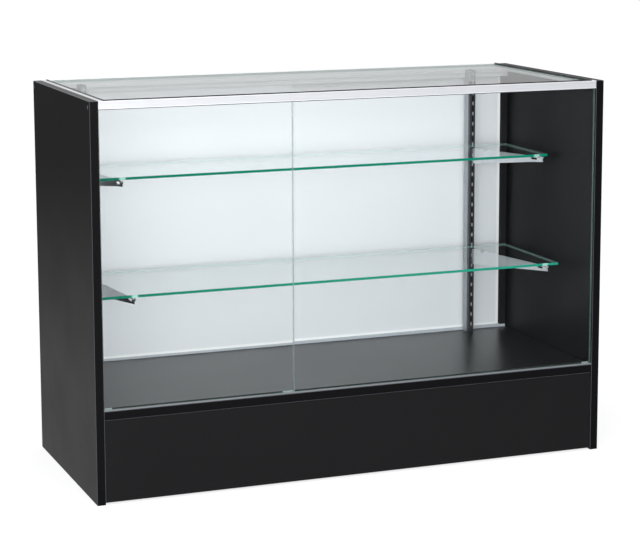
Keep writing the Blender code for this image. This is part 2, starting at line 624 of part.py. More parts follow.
def add_doors(door_material, trim_material, lock_material):
    """Two sliding doors with their finger pulls, the lock on the right one, its receiver in the left."""
    spans = {"left": (-DOOR_SIDE, DOOR_OVERLAP / 2, LEFT_DOOR_FRONT),
             "right": (-DOOR_OVERLAP / 2, DOOR_SIDE, RIGHT_DOOR_FRONT)}
    facing_rear = (-pi / 2, 0, 0)
    for side_name, (start, stop, front) in spans.items():
        rear = front + DOOR_THICKNESS
        door = board_door(side_name + "_sliding_door", (start, front, DOOR_BOTTOM), (stop, rear, DOOR_TOP),
                          door_material)
        side = -1 if side_name == "left" else 1
        pull_place = (side * (DOOR_SIDE - PULL_EDGE_DISTANCE), rear, DECK_HEIGHT + PULL_HEIGHT_ABOVE_DECK)
        cut(door, pocket_mesh(PULL_RADIUS + TOUCH_GAP, PULL_DEPTH + TOUCH_GAP), pull_place, facing_rear)
        add_finger_pull(side_name + "_finger_pull", pull_place, trim_material)
        if side_name == "left":
            place = (0, rear, LOCK_HEIGHT)
            pocket = pocket_mesh(RECEIVER_RADIUS + TOUCH_GAP, RECEIVER_DEPTH + TOUCH_GAP)
            cut(door, pocket, place, facing_rear)
            add_receiver(place, lock_material)
        else:
            place = (0, rear, LOCK_HEIGHT)
            radius = PLUNGER_PIN_RADIUS + 2 * TOUCH_GAP
            cut(door, pocket_mesh(radius, DOOR_THICKNESS + CUT_OVERRUN), place, facing_rear)


def board_door(name, low, high, material):
    """A thin white door sheet."""
    thing = add_object(name, box_mesh(name, low, high), material)
    round_edges(thing, DOOR_EDGE_RADIUS, segments=1)
    return thing


def add_finger_pull(name, place, material):
    """A pressed cup with a rolled flange, let into the rear face of a door."""
    inner = PULL_RADIUS - PULL_WALL
    seat = TOUCH_GAP
    rim = seat + PULL_FLANGE_THICKNESS
    profile = [(0, -PULL_DEPTH), (PULL_RADIUS, -PULL_DEPTH), (PULL_RADIUS, seat)]
    profile += [(PULL_FLANGE_RADIUS, seat), (PULL_FLANGE_RADIUS, rim), (inner, rim)]
    profile += [(inner, -PULL_DEPTH + PULL_FLOOR), (0, -PULL_DEPTH + PULL_FLOOR)]
    pull = add_object(name, turned_mesh(name, profile, ROUND_SIDES), material, place)
    pull.rotation_euler = (-pi / 2, 0, 0)


def add_receiver(place, material):
    """A plain ferrule, flush in the left door, that the lock's pin points at."""
    bore = PLUNGER_PIN_RADIUS + 2 * TOUCH_GAP
    profile = [(bore, 0), (RECEIVER_RADIUS, 0), (RECEIVER_RADIUS, -RECEIVER_DEPTH), (bore, -RECEIVER_DEPTH)]
    ferrule = add_object("lock_receiver", ring_mesh("ferrule", profile, ROUND_SIDES), material, place)
    ferrule.rotation_euler = (-pi / 2, 0, 0)


def ring_mesh(name, profile, sides):
    """Spin a closed profile that stays off the axis into a ring."""
    shape = bmesh.new()
    rings = []
    for radius, height in profile:
        angles = [2 * pi * step / sides for step in range(sides)]
        rings.append([shape.verts.new((radius * cos(a), radius * sin(a), height)) for a in angles])
    for lower, upper in zip(rings, rings[1:] + rings[:1]):
        for step in range(sides):
            following = (step + 1) % sides
            shape.faces.new((lower[step], lower[following], upper[following], upper[step]))
    mesh = mesh_from(shape, name)
    mesh.shade_smooth()
    mesh.set_sharp_from_angle(angle=SMOOTH_ANGLE)
    return mesh


def add_lock(material, plug_material):
    """The plunger lock on the rear of the right door; plunger and key plug turn and slide on its axis."""
    turn = (-pi / 2, 0, 0)
    place = (0, DOOR_REAR, LOCK_HEIGHT)
    bore = PLUNGER_RADIUS + TOUCH_GAP
    flange_top = TOUCH_GAP + LOCK_FLANGE_THICKNESS
    body_top = TOUCH_GAP + LOCK_BODY_LENGTH
    profile = [(bore, TOUCH_GAP), (LOCK_FLANGE_RADIUS, TOUCH_GAP), (LOCK_FLANGE_RADIUS, flange_top)]
    profile += [(LOCK_BODY_RADIUS, flange_top), (LOCK_BODY_RADIUS, body_top), (bore, body_top)]
    body = add_object("lock_body", ring_mesh("lock_body", profile, ROUND_SIDES), material, place)
    body.rotation_euler = turn
    plunger_end = body_top + PLUNGER_PROJECTION
    plug_bore = KEY_PLUG_RADIUS + TOUCH_GAP
    plug_floor = plunger_end - KEY_PLUG_LENGTH - TOUCH_GAP
    pin_tip = -(DOOR_THICKNESS - PLUNGER_PIN_SETBACK)
    profile = [(0, pin_tip), (PLUNGER_PIN_RADIUS, pin_tip), (PLUNGER_PIN_RADIUS, PLUNGER_STANDOFF)]
    profile += [(PLUNGER_RADIUS, PLUNGER_STANDOFF), (PLUNGER_RADIUS, plunger_end), (plug_bore, plunger_end)]
    profile += [(plug_bore, plug_floor), (0, plug_floor)]
    plunger = add_object("lock_plunger", turned_mesh("plunger", profile, ROUND_SIDES), plug_material, place)
    plunger.rotation_euler = turn
    plug_start = plug_floor + TOUCH_GAP
    profile = [(0, plug_start), (KEY_PLUG_RADIUS, plug_start), (KEY_PLUG_RADIUS, plunger_end)]
    profile += [(0, plunger_end)]
    plug = add_object("lock_key_plug", turned_mesh("key_plug", profile, ROUND_SIDES), plug_material, place)
    plug.rotation_euler = turn
    slot_floor = plunger_end - KEY_SLOT_DEPTH
    slot = box_mesh("key_slot", (-KEY_SLOT_WIDTH / 2, -KEY_SLOT_HEIGHT / 2, slot_floor),
                    (KEY_SLOT_WIDTH / 2, KEY_SLOT_HEIGHT / 2, plunger_end + CUT_OVERRUN))
    cut(plug, slot, place, turn)


def standard_outline(middle):
    """Plan of a slotted standard: a channel open to the rear, with a flat rib down its front."""
    half = STANDARD_WIDTH / 2
    rib = STANDARD_RIB_WIDTH / 2
    inner = half - STANDARD_FLANGE
    rib_front = STANDARD_FRONT - STANDARD_RIB_RISE
    web_rear = STANDARD_FRONT + STANDARD_WEB
    shoulder = STANDARD_FRONT + STANDARD_FLANGE
    edge = half - STANDARD_FLANGE
    points = [(-edge, STANDARD_FRONT), (-rib, STANDARD_FRONT), (-rib, rib_front), (rib, rib_front)]
    points += [(rib, STANDARD_FRONT), (edge, STANDARD_FRONT), (half, shoulder), (half, STANDARD_REAR)]
    points += [(inner, STANDARD_REAR), (inner, web_rear), (-inner, web_rear), (-inner, STANDARD_REAR)]
    points += [(-half, STANDARD_REAR), (-half, shoulder)]
    return [(middle + across, depth) for across, depth in points]


def slot_heights():
    """Heights of the lower ends of the slots."""
    height = STANDARD_BOTTOM + FIRST_SLOT
    while height + SLOT_HEIGHT < STANDARD_TOP - TOP_SLOT_MARGIN:
        yield height
        height += SLOT_PITCH


def slots_mesh(middle):
    """One cutter for all the slots of a standard, each with eased corners."""
    shape = bmesh.new()
    half = SLOT_WIDTH / 2
    ease = SLOT_CORNER
    front = STANDARD_FRONT - STANDARD_RIB_RISE - CUT_OVERRUN
    depth = STANDARD_RIB_RISE + STANDARD_WEB + 2 * CUT_OVERRUN
    for base in slot_heights():
        top = base + SLOT_HEIGHT
        outline = [(-half + ease, base), (half - ease, base), (half, base + ease), (half, top - ease)]
        outline += [(half - ease, top), (-half + ease, top), (-half, top - ease), (-half, base + ease)]
        corners = [shape.verts.new((middle + across, front, height)) for across, height in outline]
        grown = bmesh.ops.extrude_face_region(shape, geom=[shape.faces.new(corners)])
        moved = [item for item in grown["geom"] if isinstance(item, bmesh.types.BMVert)]
        bmesh.ops.translate(shape, verts=moved, vec=(0, depth, 0))
    return mesh_from(shape, "slots")


def post_outline(middle):
    """Plan of a rear post, a rectangular tube; the outer line, then the inner one."""
    half = STANDARD_WIDTH / 2
    front = STANDARD_REAR + TOUCH_GAP
    rear = front + POST_DEPTH
    outer = [(middle - half, front), (middle + half, front), (middle + half, rear), (middle - half, rear)]
    return outer, front, rear


def fixing_heights():
    """Heights and names of the screws that hold a standard to its post."""
    return {"upper": STANDARD_TOP - UPPER_FIXING_DROP, "lower": STANDARD_TOP - LOWER_FIXING_DROP}


def add_posts_and_standards(post_material, standard_material, screw_material):
    """A tube post and a slotted standard at each side, and two screws through both."""
    for side_name, middle in STANDARD_PLACES.items():
        outer, front, rear = post_outline(middle)
        mesh = prism_mesh("post", outer, "Z", STANDARD_BOTTOM, STANDARD_TOP)
        post = add_object(side_name + "_post", mesh, post_material)
        inner = STANDARD_WIDTH / 2 - POST_WALL
        bore = box_mesh("post_bore", (middle - inner, front + POST_WALL, STANDARD_BOTTOM - CUT_OVERRUN),
                        (middle + inner, rear - POST_WALL, STANDARD_TOP + CUT_OVERRUN))
        cut(post, bore)
        mesh = prism_mesh("standard", standard_outline(middle), "Z", STANDARD_BOTTOM, STANDARD_TOP)
        standard = add_object(side_name + "_standard", mesh, standard_material)
        cut(standard, slots_mesh(middle))
        face = STANDARD_FRONT - STANDARD_RIB_RISE
        length = STANDARD_REAR + TOUCH_GAP + POST_WALL + SMALL_SCREW_GRIP - face
        for fixing_name, height in fixing_heights().items():
            radius = SMALL_SHANK_RADIUS + TOUCH_GAP
            profile = [(0, CUT_OVERRUN), (radius, CUT_OVERRUN), (radius, -length), (0, -length)]
            hole = turned_mesh("fixing_hole", profile, SCREW_SIDES)
            place = (middle, face, height)
            cut(standard, hole, place, (pi / 2, 0, 0))
            cut(post, hole.copy(), place, (pi / 2, 0, 0))
            mesh = screw_mesh("fixing", SMALL_HEAD_RADIUS, SMALL_HEAD_THICKNESS, SMALL_SHANK_RADIUS, length)
            seat = (middle, face - TOUCH_GAP, height)
            screw = add_object(f"{side_name}_standard_{fixing_name}_screw", mesh, screw_material, seat)
            screw.rotation_euler = (pi / 2, 0, 0)


def bracket_outline(length):
    """Side view of a bracket: depth ahead of the standard's web, and height above its upper slot."""
    shoulder = -(STANDARD_WEB / 2 + STANDARD_RIB_RISE + HOOK_PLAY)
    hook_inner = STANDARD_WEB / 2 + HOOK_PLAY
    hook_outer = hook_inner + HOOK_THICKNESS
    top = BRACKET_HEAD
    heel = -SLOT_PITCH - BRACKET_FOOT
    nose = top - BRACKET_NOSE_HEIGHT
    knee = top - BRACKET_KNEE_HEIGHT
    points = [(shoulder, top), (-length, top), (BRACKET_NOTCH_DEPTH - length, top - BRACKET_NOTCH_DROP)]
    points += [(BRACKET_NOSE_SLOPE - length, nose), (BRACKET_KNEE_PLACE - length, knee)]
    points += [(shoulder - BRACKET_HEEL, heel), (shoulder, heel)]
    for slot in (-SLOT_PITCH, 0):
        seat = slot + TOUCH_GAP
        tip = slot - HOOK_DROP
        points += [(shoulder, seat), (hook_inner, seat), (hook_inner, tip), (hook_outer, tip)]
        points += [(hook_outer, seat + HOOK_NECK), (shoulder, seat + HOOK_NECK)]
    return points


def bracket_hole_mesh(length):
    """The oval hole near a bracket's nose."""
    shape = bmesh.new()
    middle_depth = BRACKET_HOLE_PLACE - length
    middle_height = BRACKET_HEAD - BRACKET_NOSE_HEIGHT / 2
    radius = BRACKET_HOLE_HEIGHT / 2
    straight = BRACKET_HOLE_LENGTH / 2 - radius
    reach = BRACKET_THICKNESS / 2 + CUT_OVERRUN
    corners = []
    for step in range(SCREW_SIDES):
        angle = 2 * pi * (step + OVAL_START_SHARE) / SCREW_SIDES
        shift = straight if cos(angle) > 0 else -straight
        depth = middle_depth + shift + radius * cos(angle)
        corners.append(shape.verts.new((-reach, depth, middle_height + radius * sin(angle))))
    grown = bmesh.ops.extrude_face_region(shape, geom=[shape.faces.new(corners)])
    moved = [item for item in grown["geom"] if isinstance(item, bmesh.types.BMVert)]
    bmesh.ops.translate(shape, verts=moved, vec=(2 * reach, 0, 0))
    return mesh_from(shape, "bracket_hole")


def rest_outline():
    """Front view of a clear rest: a cap on the bracket's top edge with a short skirt on each side."""
    half = REST_WIDTH / 2
    inner = BRACKET_THICKNESS / 2 + TOUCH_GAP
    seat = BRACKET_HEAD + TOUCH_GAP
    top = seat + REST_THICKNESS
    skirt = seat - REST_SKIRT
    points = [(-half, skirt), (-half, top), (half, top), (half, skirt)]
    points += [(inner, skirt), (inner, seat), (-inner, seat), (-inner, skirt)]
    return points


def shelf_levels():
    """For each shelf: the height of the slot that its brackets' upper hooks sit in."""
    first = STANDARD_BOTTOM + FIRST_SLOT
    return {"upper": first + UPPER_SHELF_SLOT * SLOT_PITCH, "lower": first + LOWER_SHELF_SLOT * SLOT_PITCH}


def add_brackets(metal_material, rest_material):
    """Four brackets hooked into the standards, turned to the right as they hang, with two rests each."""
    lengths = {"upper": UPPER_BRACKET_LENGTH, "lower": LOWER_BRACKET_LENGTH}
    toes = {("upper", "right"): UPPER_RIGHT_TOE, ("lower", "right"): LOWER_RIGHT_TOE,
            ("upper", "left"): LEFT_TOE, ("lower", "left"): LEFT_TOE}
    for (level_name, side_name), toe in toes.items():
        length = lengths[level_name]
        half = BRACKET_THICKNESS / 2
        name = f"{level_name}_{side_name}_bracket"
        place = (STANDARD_PLACES[side_name], WEB_MIDDLE, shelf_levels()[level_name])
        bracket = add_object(name, prism_mesh(name, bracket_outline(length), "X", -half, half),
                             metal_material, place)
        bracket.rotation_euler = (0, 0, toe)
        cut(bracket, bracket_hole_mesh(length), place, (0, 0, toe))
        rests = {"rear": -REST_REAR_PLACE, "front": REST_NOSE_PLACE - length}
        for rest_name, middle in rests.items():
            half_length = REST_LENGTH / 2
            mesh = prism_mesh("rest", rest_outline(), "Y", middle - half_length, middle + half_length)
            add_object(f"{level_name}_{side_name}_{rest_name}_rest", mesh, rest_material, parent=bracket)


def add_shelves(material):
    """The two glass shelves, which lie on the rests."""
    depths = {"upper": UPPER_SHELF_DEPTH, "lower": LOWER_SHELF_DEPTH}
    for level_name, slot in shelf_levels().items():
        bottom = slot + SHELF_LIFT
        glass(level_name + "_glass_shelf", (-SHELF_END, SHELF_REAR - depths[level_name], bottom),
              (SHELF_END, SHELF_REAR, bottom + SHELF_GLASS_THICKNESS), material)


def build():
    """Make every piece of the case."""
    clear_scene()
    melamine = make_material("black_melamine", (0.018, 0.018, 0.020), 0.40)
    aluminium = make_material("satin_aluminium", (0.80, 0.81, 0.82), 0.32, metallic=1.0)
    clear_glass = make_material("float_glass", (0.86, 0.95, 0.92), 0.02, transmission=0.9)
    white_board = make_material("white_door_board", (0.78, 0.80, 0.81), 0.45)
    black_plastic = make_material("black_plastic", (0.014, 0.014, 0.016), 0.35)
    pale_plastic = make_material("pale_plastic", (0.72, 0.74, 0.75), 0.35)
    zinc = make_material("bright_zinc", (0.74, 0.75, 0.77), 0.28, metallic=1.0)
    dark_steel = make_material("dark_steel", (0.05, 0.05, 0.055), 0.35, metallic=0.6)
    chrome = make_material("lock_chrome", (0.80, 0.80, 0.80), 0.12, metallic=1.0)
    clear_plastic = make_material("clear_plastic", (0.85, 0.90, 0.90), 0.10, transmission=0.8)
    add_end_panels(melamine)
    add_base(melamine)
    add_cam_fittings(zinc)
    add_top_rails(aluminium)
    add_rail_screws(zinc)
    add_top_gasket(black_plastic)
    add_glass_case(clear_glass)
    add_front_channel(aluminium)
    add_glazing_blocks(pale_plastic)
    add_tracks_and_jambs(pale_plastic, black_plastic)
    add_doors(white_board, zinc, chrome)
    add_lock(chrome, chrome)
    add_posts_and_standards(aluminium, dark_steel, zinc)
    add_brackets(zinc, clear_plastic)
    add_shelves(clear_glass)


build()
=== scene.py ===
from math import cos, pi, radians, sin

import bmesh
import bpy
from mathutils import Matrix, Vector


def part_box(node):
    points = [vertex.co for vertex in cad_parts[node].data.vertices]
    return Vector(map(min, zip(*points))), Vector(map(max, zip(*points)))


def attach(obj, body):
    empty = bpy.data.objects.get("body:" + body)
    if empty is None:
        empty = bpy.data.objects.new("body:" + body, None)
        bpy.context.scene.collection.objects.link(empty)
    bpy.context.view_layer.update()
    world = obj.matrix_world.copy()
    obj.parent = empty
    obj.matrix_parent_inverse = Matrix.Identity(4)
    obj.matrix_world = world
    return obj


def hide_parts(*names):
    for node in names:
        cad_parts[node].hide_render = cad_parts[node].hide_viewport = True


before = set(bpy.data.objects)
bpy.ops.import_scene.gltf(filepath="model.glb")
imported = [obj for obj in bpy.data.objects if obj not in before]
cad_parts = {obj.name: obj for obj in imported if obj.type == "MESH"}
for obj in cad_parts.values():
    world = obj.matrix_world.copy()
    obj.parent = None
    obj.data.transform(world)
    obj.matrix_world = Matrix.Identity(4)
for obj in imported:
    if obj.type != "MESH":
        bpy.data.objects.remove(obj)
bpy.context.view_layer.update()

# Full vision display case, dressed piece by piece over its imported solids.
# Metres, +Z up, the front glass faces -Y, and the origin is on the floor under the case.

# The studio
# The case stands on a white sweep under soft boxes. To the camera the sweep is lifted to white, and only the
# shadow stays. In reflections the room is white before the case and greyer behind it, and the sweep falls
# off to grey with distance, as it does beyond the lamps.


def hex_colour(code):
    """An sRGB hex colour as linear red, green, blue and alpha."""
    shares = [int(code[place:place + 2], 16) / 255 for place in (0, 2, 4)]
    linear = [share / 12.92 if share <= 0.04045 else ((share + 0.055) / 1.055) ** 2.4 for share in shares]
    return (*linear, 1.0)


def add_node(tree, kind, settings):
    """Add a shader node. Each setting links a socket, fills an input or sets a property of the node."""
    node = tree.nodes.new(kind)
    for key, value in settings.items():
        if isinstance(key, str) and key not in node.inputs:
            setattr(node, key, value)
        elif isinstance(value, bpy.types.NodeSocket):
            tree.links.new(value, node.inputs[key])
        else:
            node.inputs[key].default_value = value
    return node


def empty_material(name):
    """A node material with nothing in it yet, and its node tree."""
    material = bpy.data.materials.new(name)
    material.use_nodes = True
    material.node_tree.nodes.clear()
    return material, material.node_tree


def add_primitive(add, name, **settings):
    """Add one primitive with nothing else selected, and name it."""
    bpy.ops.object.select_all(action="DESELECT")
    add(**settings)
    thing = bpy.context.object
    thing.name = name
    thing.data.name = name
    return thing


scene = bpy.context.scene
scene.view_settings.view_transform = "Standard"

room = bpy.data.worlds.new("white_studio")
scene.world = room
room.use_nodes = True
tree = room.node_tree
tree.nodes.clear()
rays = add_node(tree, "ShaderNodeLightPath", {})
towards = add_node(tree, "ShaderNodeTexCoord", {})
axes = add_node(tree, "ShaderNodeSeparateXYZ", {"Vector": towards.outputs["Generated"]})
front_share = add_node(tree, "ShaderNodeMapRange", {
    "interpolation_type": "SMOOTHSTEP", "Value": axes.outputs["Y"], "From Min": -0.6, "From Max": 0.4,
    "To Min": 1.0, "To Max": 0.62})
mirrored = add_node(tree, "ShaderNodeBackground", {"Strength": front_share.outputs["Result"]})
soft = add_node(tree, "ShaderNodeBackground", {"Color": hex_colour("FCFDFF"), "Strength": 0.75})
shown = add_node(tree, "ShaderNodeBackground", {"Color": (1.0, 1.0, 1.0, 1.0), "Strength": 1.0})
gloss_or_soft = add_node(tree, "ShaderNodeMixShader", {
    0: rays.outputs["Is Glossy Ray"], 1: soft.outputs[0], 2: mirrored.outputs[0]})
shown_or_not = add_node(tree, "ShaderNodeMixShader", {
    0: rays.outputs["Is Camera Ray"], 1: gloss_or_soft.outputs[0], 2: shown.outputs[0]})
add_node(tree, "ShaderNodeOutputWorld", {"Surface": shown_or_not.outputs[0]})

sweep_paint, tree = empty_material("white_sweep")
rays = add_node(tree, "ShaderNodeLightPath", {})
place = add_node(tree, "ShaderNodeTexCoord", {})
shaded = add_node(tree, "ShaderNodeBsdfDiffuse", {"Color": hex_colour("A0A0A0")})
lifted = add_node(tree, "ShaderNodeEmission", {"Color": (1.0, 1.0, 1.0, 1.0), "Strength": 0.75})
pictured = add_node(tree, "ShaderNodeAddShader", {0: shaded.outputs[0], 1: lifted.outputs[0]})
reach = add_node(tree, "ShaderNodeVectorMath", {"operation": "LENGTH", 0: place.outputs["Object"]})
falling = add_node(tree, "ShaderNodeMapRange", {
    "interpolation_type": "SMOOTHSTEP", "Value": reach.outputs["Value"], "From Min": 0.3, "From Max": 5.5,
    "To Min": 0.42, "To Max": 0.06})
mirrored = add_node(tree, "ShaderNodeEmission", {"Strength": falling.outputs["Result"]})
plain = add_node(tree, "ShaderNodeBsdfDiffuse", {"Color": hex_colour("CACACA")})
gloss_or_plain = add_node(tree, "ShaderNodeMixShader", {
    0: rays.outputs["Is Glossy Ray"], 1: plain.outputs[0], 2: mirrored.outputs[0]})
sweep = add_node(tree, "ShaderNodeMixShader", {
    0: rays.outputs["Is Camera Ray"], 1: gloss_or_plain.outputs[0], 2: pictured.outputs[0]})
add_node(tree, "ShaderNodeOutputMaterial", {"Surface": sweep.outputs[0]})

floor = add_primitive(bpy.ops.mesh.primitive_plane_add, "studio_floor", size=60, location=(0, 0, -0.0002))
floor.data.materials.append(sweep_paint)

case_middle = Vector((0, 0, 0.5))
SOFT_BOXES = {
    "front_box": {"place": (-0.7, -4.6, 1.1), "width": 1.8, "power": 66.0},
    "front_left_box": {"place": (-1.7, -3.0, 1.1), "width": 1.4, "power": 20.0},
    "top_box": {"place": (-0.6, -1.5, 3.0), "width": 2.0, "power": 32.0},
}
for box_name, box in SOFT_BOXES.items():
    aim = case_middle - Vector(box["place"])
    lamp = add_primitive(bpy.ops.object.light_add, box_name, type="AREA", location=box["place"],
                         rotation=aim.to_track_quat("-Z", "Y").to_euler())
    lamp.data.shape = "SQUARE"
    lamp.data.size = box["width"]
    lamp.data.energy = box["power"]

# The camera
# It stands to the left of the front and a little above the top glass, with a long lens, as for a catalogue.
# The frame is 640 by 534, and a small shift keeps the case in the middle of it.
camera_place = Vector((-1.67853, -4.34670, 1.31391))
camera_yaw, camera_pitch, camera_roll = radians(21.175), radians(-8.839), radians(-0.178)
ahead = Vector((sin(camera_yaw) * cos(camera_pitch), cos(camera_yaw) * cos(camera_pitch), sin(camera_pitch)))
level_right = Vector((cos(camera_yaw), -sin(camera_yaw), 0))
level_up = level_right.cross(ahead)
right = level_right * cos(camera_roll) + level_up * sin(camera_roll)
up = level_up * cos(camera_roll) - level_right * sin(camera_roll)
camera = add_primitive(bpy.ops.object.camera_add, "camera")
camera.matrix_world = Matrix.Translation(camera_place) @ Matrix((right, up, -ahead)).transposed().to_4x4()
camera.data.sensor_width = 36
camera.data.lens = 113.59
camera.data.shift_y = -0.1
scene.camera = camera

# End panels, deck, kick, rear base and rib
# Particle board, 19 mm thick, faced on both sides with black melamine that was pressed against a satin
# plate. Its front and rear edges carry a duller black band; its eased corners carry a painted highlight.


def dress(material, *nodes):
    """Give a material to CAD nodes."""
    for node in nodes:
        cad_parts[node].material_slots[0].material = material


def eased_copy(node, body, material, width, segments=2):
    """A copy of a CAD node with its sharp corners eased as the real piece's are; it stands for the node."""
    bpy.ops.object.select_all(action="DESELECT")
    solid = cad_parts[node]
    solid.select_set(True)
    bpy.context.view_layer.objects.active = solid
    bpy.ops.object.duplicate()
    piece = bpy.context.object
    piece.name = node + "_eased"
    piece.data.name = piece.name
    for key in list(piece.keys()):
        del piece[key]
    piece.parent = None
    piece.matrix_world = Matrix.Identity(4)
    bpy.ops.object.mode_set(mode="EDIT")
    bpy.ops.mesh.select_all(action="SELECT")
    bpy.ops.mesh.remove_doubles(threshold=0.00002)
    bpy.ops.mesh.dissolve_limited(angle_limit=radians(1))
    bpy.ops.object.mode_set(mode="OBJECT")
    easing = piece.modifiers.new("eased_corners", "BEVEL")
    easing.width = width
    easing.segments = segments
    easing.limit_method = "ANGLE"
    easing.angle_limit = radians(32)
    bpy.ops.object.modifier_apply(modifier=easing.name)
    bpy.ops.object.shade_smooth_by_angle(angle=radians(40))
    flat_faces = piece.modifiers.new("flat_faces_stay_flat", "WEIGHTED_NORMAL")
    flat_faces.weight = 100
    flat_faces.keep_sharp = True
    bpy.ops.object.modifier_apply(modifier=flat_faces.name)
    piece.data.materials.clear()
    piece.data.materials.append(material)
    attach(piece, body)
    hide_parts(node)
    return piece


def melamine_board(name, face, grain_and_highlight, specular, roughness, cloud_size):
    """Pressed melamine: a dark satin face, faintly clouded by wiping, with painted highlights on eased
    corners.
    """
    material, tree = empty_material(name)
    place = add_node(tree, "ShaderNodeTexCoord", {})
    # The pressed grain is about 0.7 mm; drawn at 7 mm, three pixels, because a finer one shows as dots.
    grain = add_node(tree, "ShaderNodeTexNoise", {
        "Vector": place.outputs["Object"], "Scale": 1000 / 7.0, "Detail": 0.0, "Roughness": 0.5})
    cloud = add_node(tree, "ShaderNodeTexNoise", {
        "Vector": place.outputs["Object"], "Scale": 1000 / cloud_size, "Detail": 3.0, "Roughness": 0.5})
    # The fourth powers of a normal's parts add up to 1 on a flat face, and to less on an eased corner.
    parts = add_node(tree, "ShaderNodeSeparateXYZ", {"Vector": place.outputs["Normal"]})
    powers = [add_node(tree, "ShaderNodeMath", {"operation": "POWER", 0: parts.outputs[axis], 1: 4.0})
              for axis in ("X", "Y", "Z")]
    pair = add_node(tree, "ShaderNodeMath", {
        "operation": "ADD", 0: powers[0].outputs[0], 1: powers[1].outputs[0]})
    flatness = add_node(tree, "ShaderNodeMath", {
        "operation": "ADD", 0: pair.outputs[0], 1: powers[2].outputs[0]})
    corner = add_node(tree, "ShaderNodeMapRange", {
        "Value": flatness.outputs[0], "From Min": 0.98, "From Max": 0.70, "To Min": 0.0, "To Max": 1.0})
    tone = add_node(tree, "ShaderNodeMapRange", {
        "Value": grain.outputs["Fac"], "From Min": 0.35, "From Max": 0.65, "To Min": 0.0, "To Max": 0.004})
    flat = add_node(tree, "ShaderNodeMix", {
        "data_type": "RGBA", 0: tone.outputs["Result"], 6: hex_colour(face), 7: hex_colour(grain_and_highlight)})
    # Eased corners are painted lighter, as a painted highlight; the grain tints the flat face faintly towards
    # the same colour.
    colour = add_node(tree, "ShaderNodeMix", {
        "data_type": "RGBA", 0: corner.outputs["Result"], 6: flat.outputs[2], 7: hex_colour(grain_and_highlight)})
    dull = add_node(tree, "ShaderNodeMapRange", {
        "Value": cloud.outputs["Fac"], "From Min": 0.3, "From Max": 0.7,
        "To Min": roughness - 0.02, "To Max": roughness + 0.03})
    pressed = add_node(tree, "ShaderNodeBump", {
        "Height": grain.outputs["Fac"], "Strength": 0.03, "Distance": 0.0001})
    board = add_node(tree, "ShaderNodeBsdfPrincipled", {
        "Base Color": colour.outputs[2], "Roughness": dull.outputs["Result"], "Specular IOR Level": specular,
        "Normal": pressed.outputs["Normal"]})
    add_node(tree, "ShaderNodeOutputMaterial", {"Surface": board.outputs[0]})
    return material


panel_melamine = melamine_board(
    "black_melamine_board", "111113", "6C6E74", specular=0.23, roughness=0.36, cloud_size=160)
# The denoiser takes roughness under 0.274 for a mirror. The deck stays above it, or its face shows rings.
deck_melamine = melamine_board(
    "black_melamine_deck", "161618", "76787E", specular=0.45, roughness=0.295, cloud_size=400)
inner_melamine = melamine_board(
    "black_melamine_inner_board", "101012", "6C6E74", specular=0.10, roughness=0.38, cloud_size=160)
edge_band = melamine_board(
    "black_edge_band", "0C0C0E", "54565C", specular=0.08, roughness=0.45, cloud_size=60)
board_corner = 0.0006
dress(panel_melamine, "rear_base_panel", "deck_support_rib")
eased_copy("front_kick_panel", "case", panel_melamine, board_corner)
# Beyond band_face is the band on a front or rear edge. Above panel_top is the left panel's top edge, which
# shines as the deck does.
band_face, panel_top = 0.2532, 0.876
for board, face in (("left_end_panel", panel_melamine), ("right_end_panel", inner_melamine),
                    ("deck_panel", deck_melamine)):
    piece = eased_copy(board, "case", face, board_corner)
    piece.data.materials.append(edge_band)
    piece.data.materials.append(deck_melamine)
    for polygon in piece.data.polygons:
        if abs(polygon.center.y) > band_face:
            polygon.material_index = 1
        elif board == "left_end_panel" and polygon.center.z > panel_top:
            polygon.material_index = 2

# Top rails and gasket
# Aluminium extrusions, satin anodised in silver, screwed to the end panels and carrying the top glass. The
# front one has a raised bead along the top and the bottom of its face. A black vinyl gasket with a rounded
# lip is pressed in round the glass, at the front and both sides.


# Anodised faces scatter most of the light, so their base is metal only in part.
METAL_SHARE = 0.4


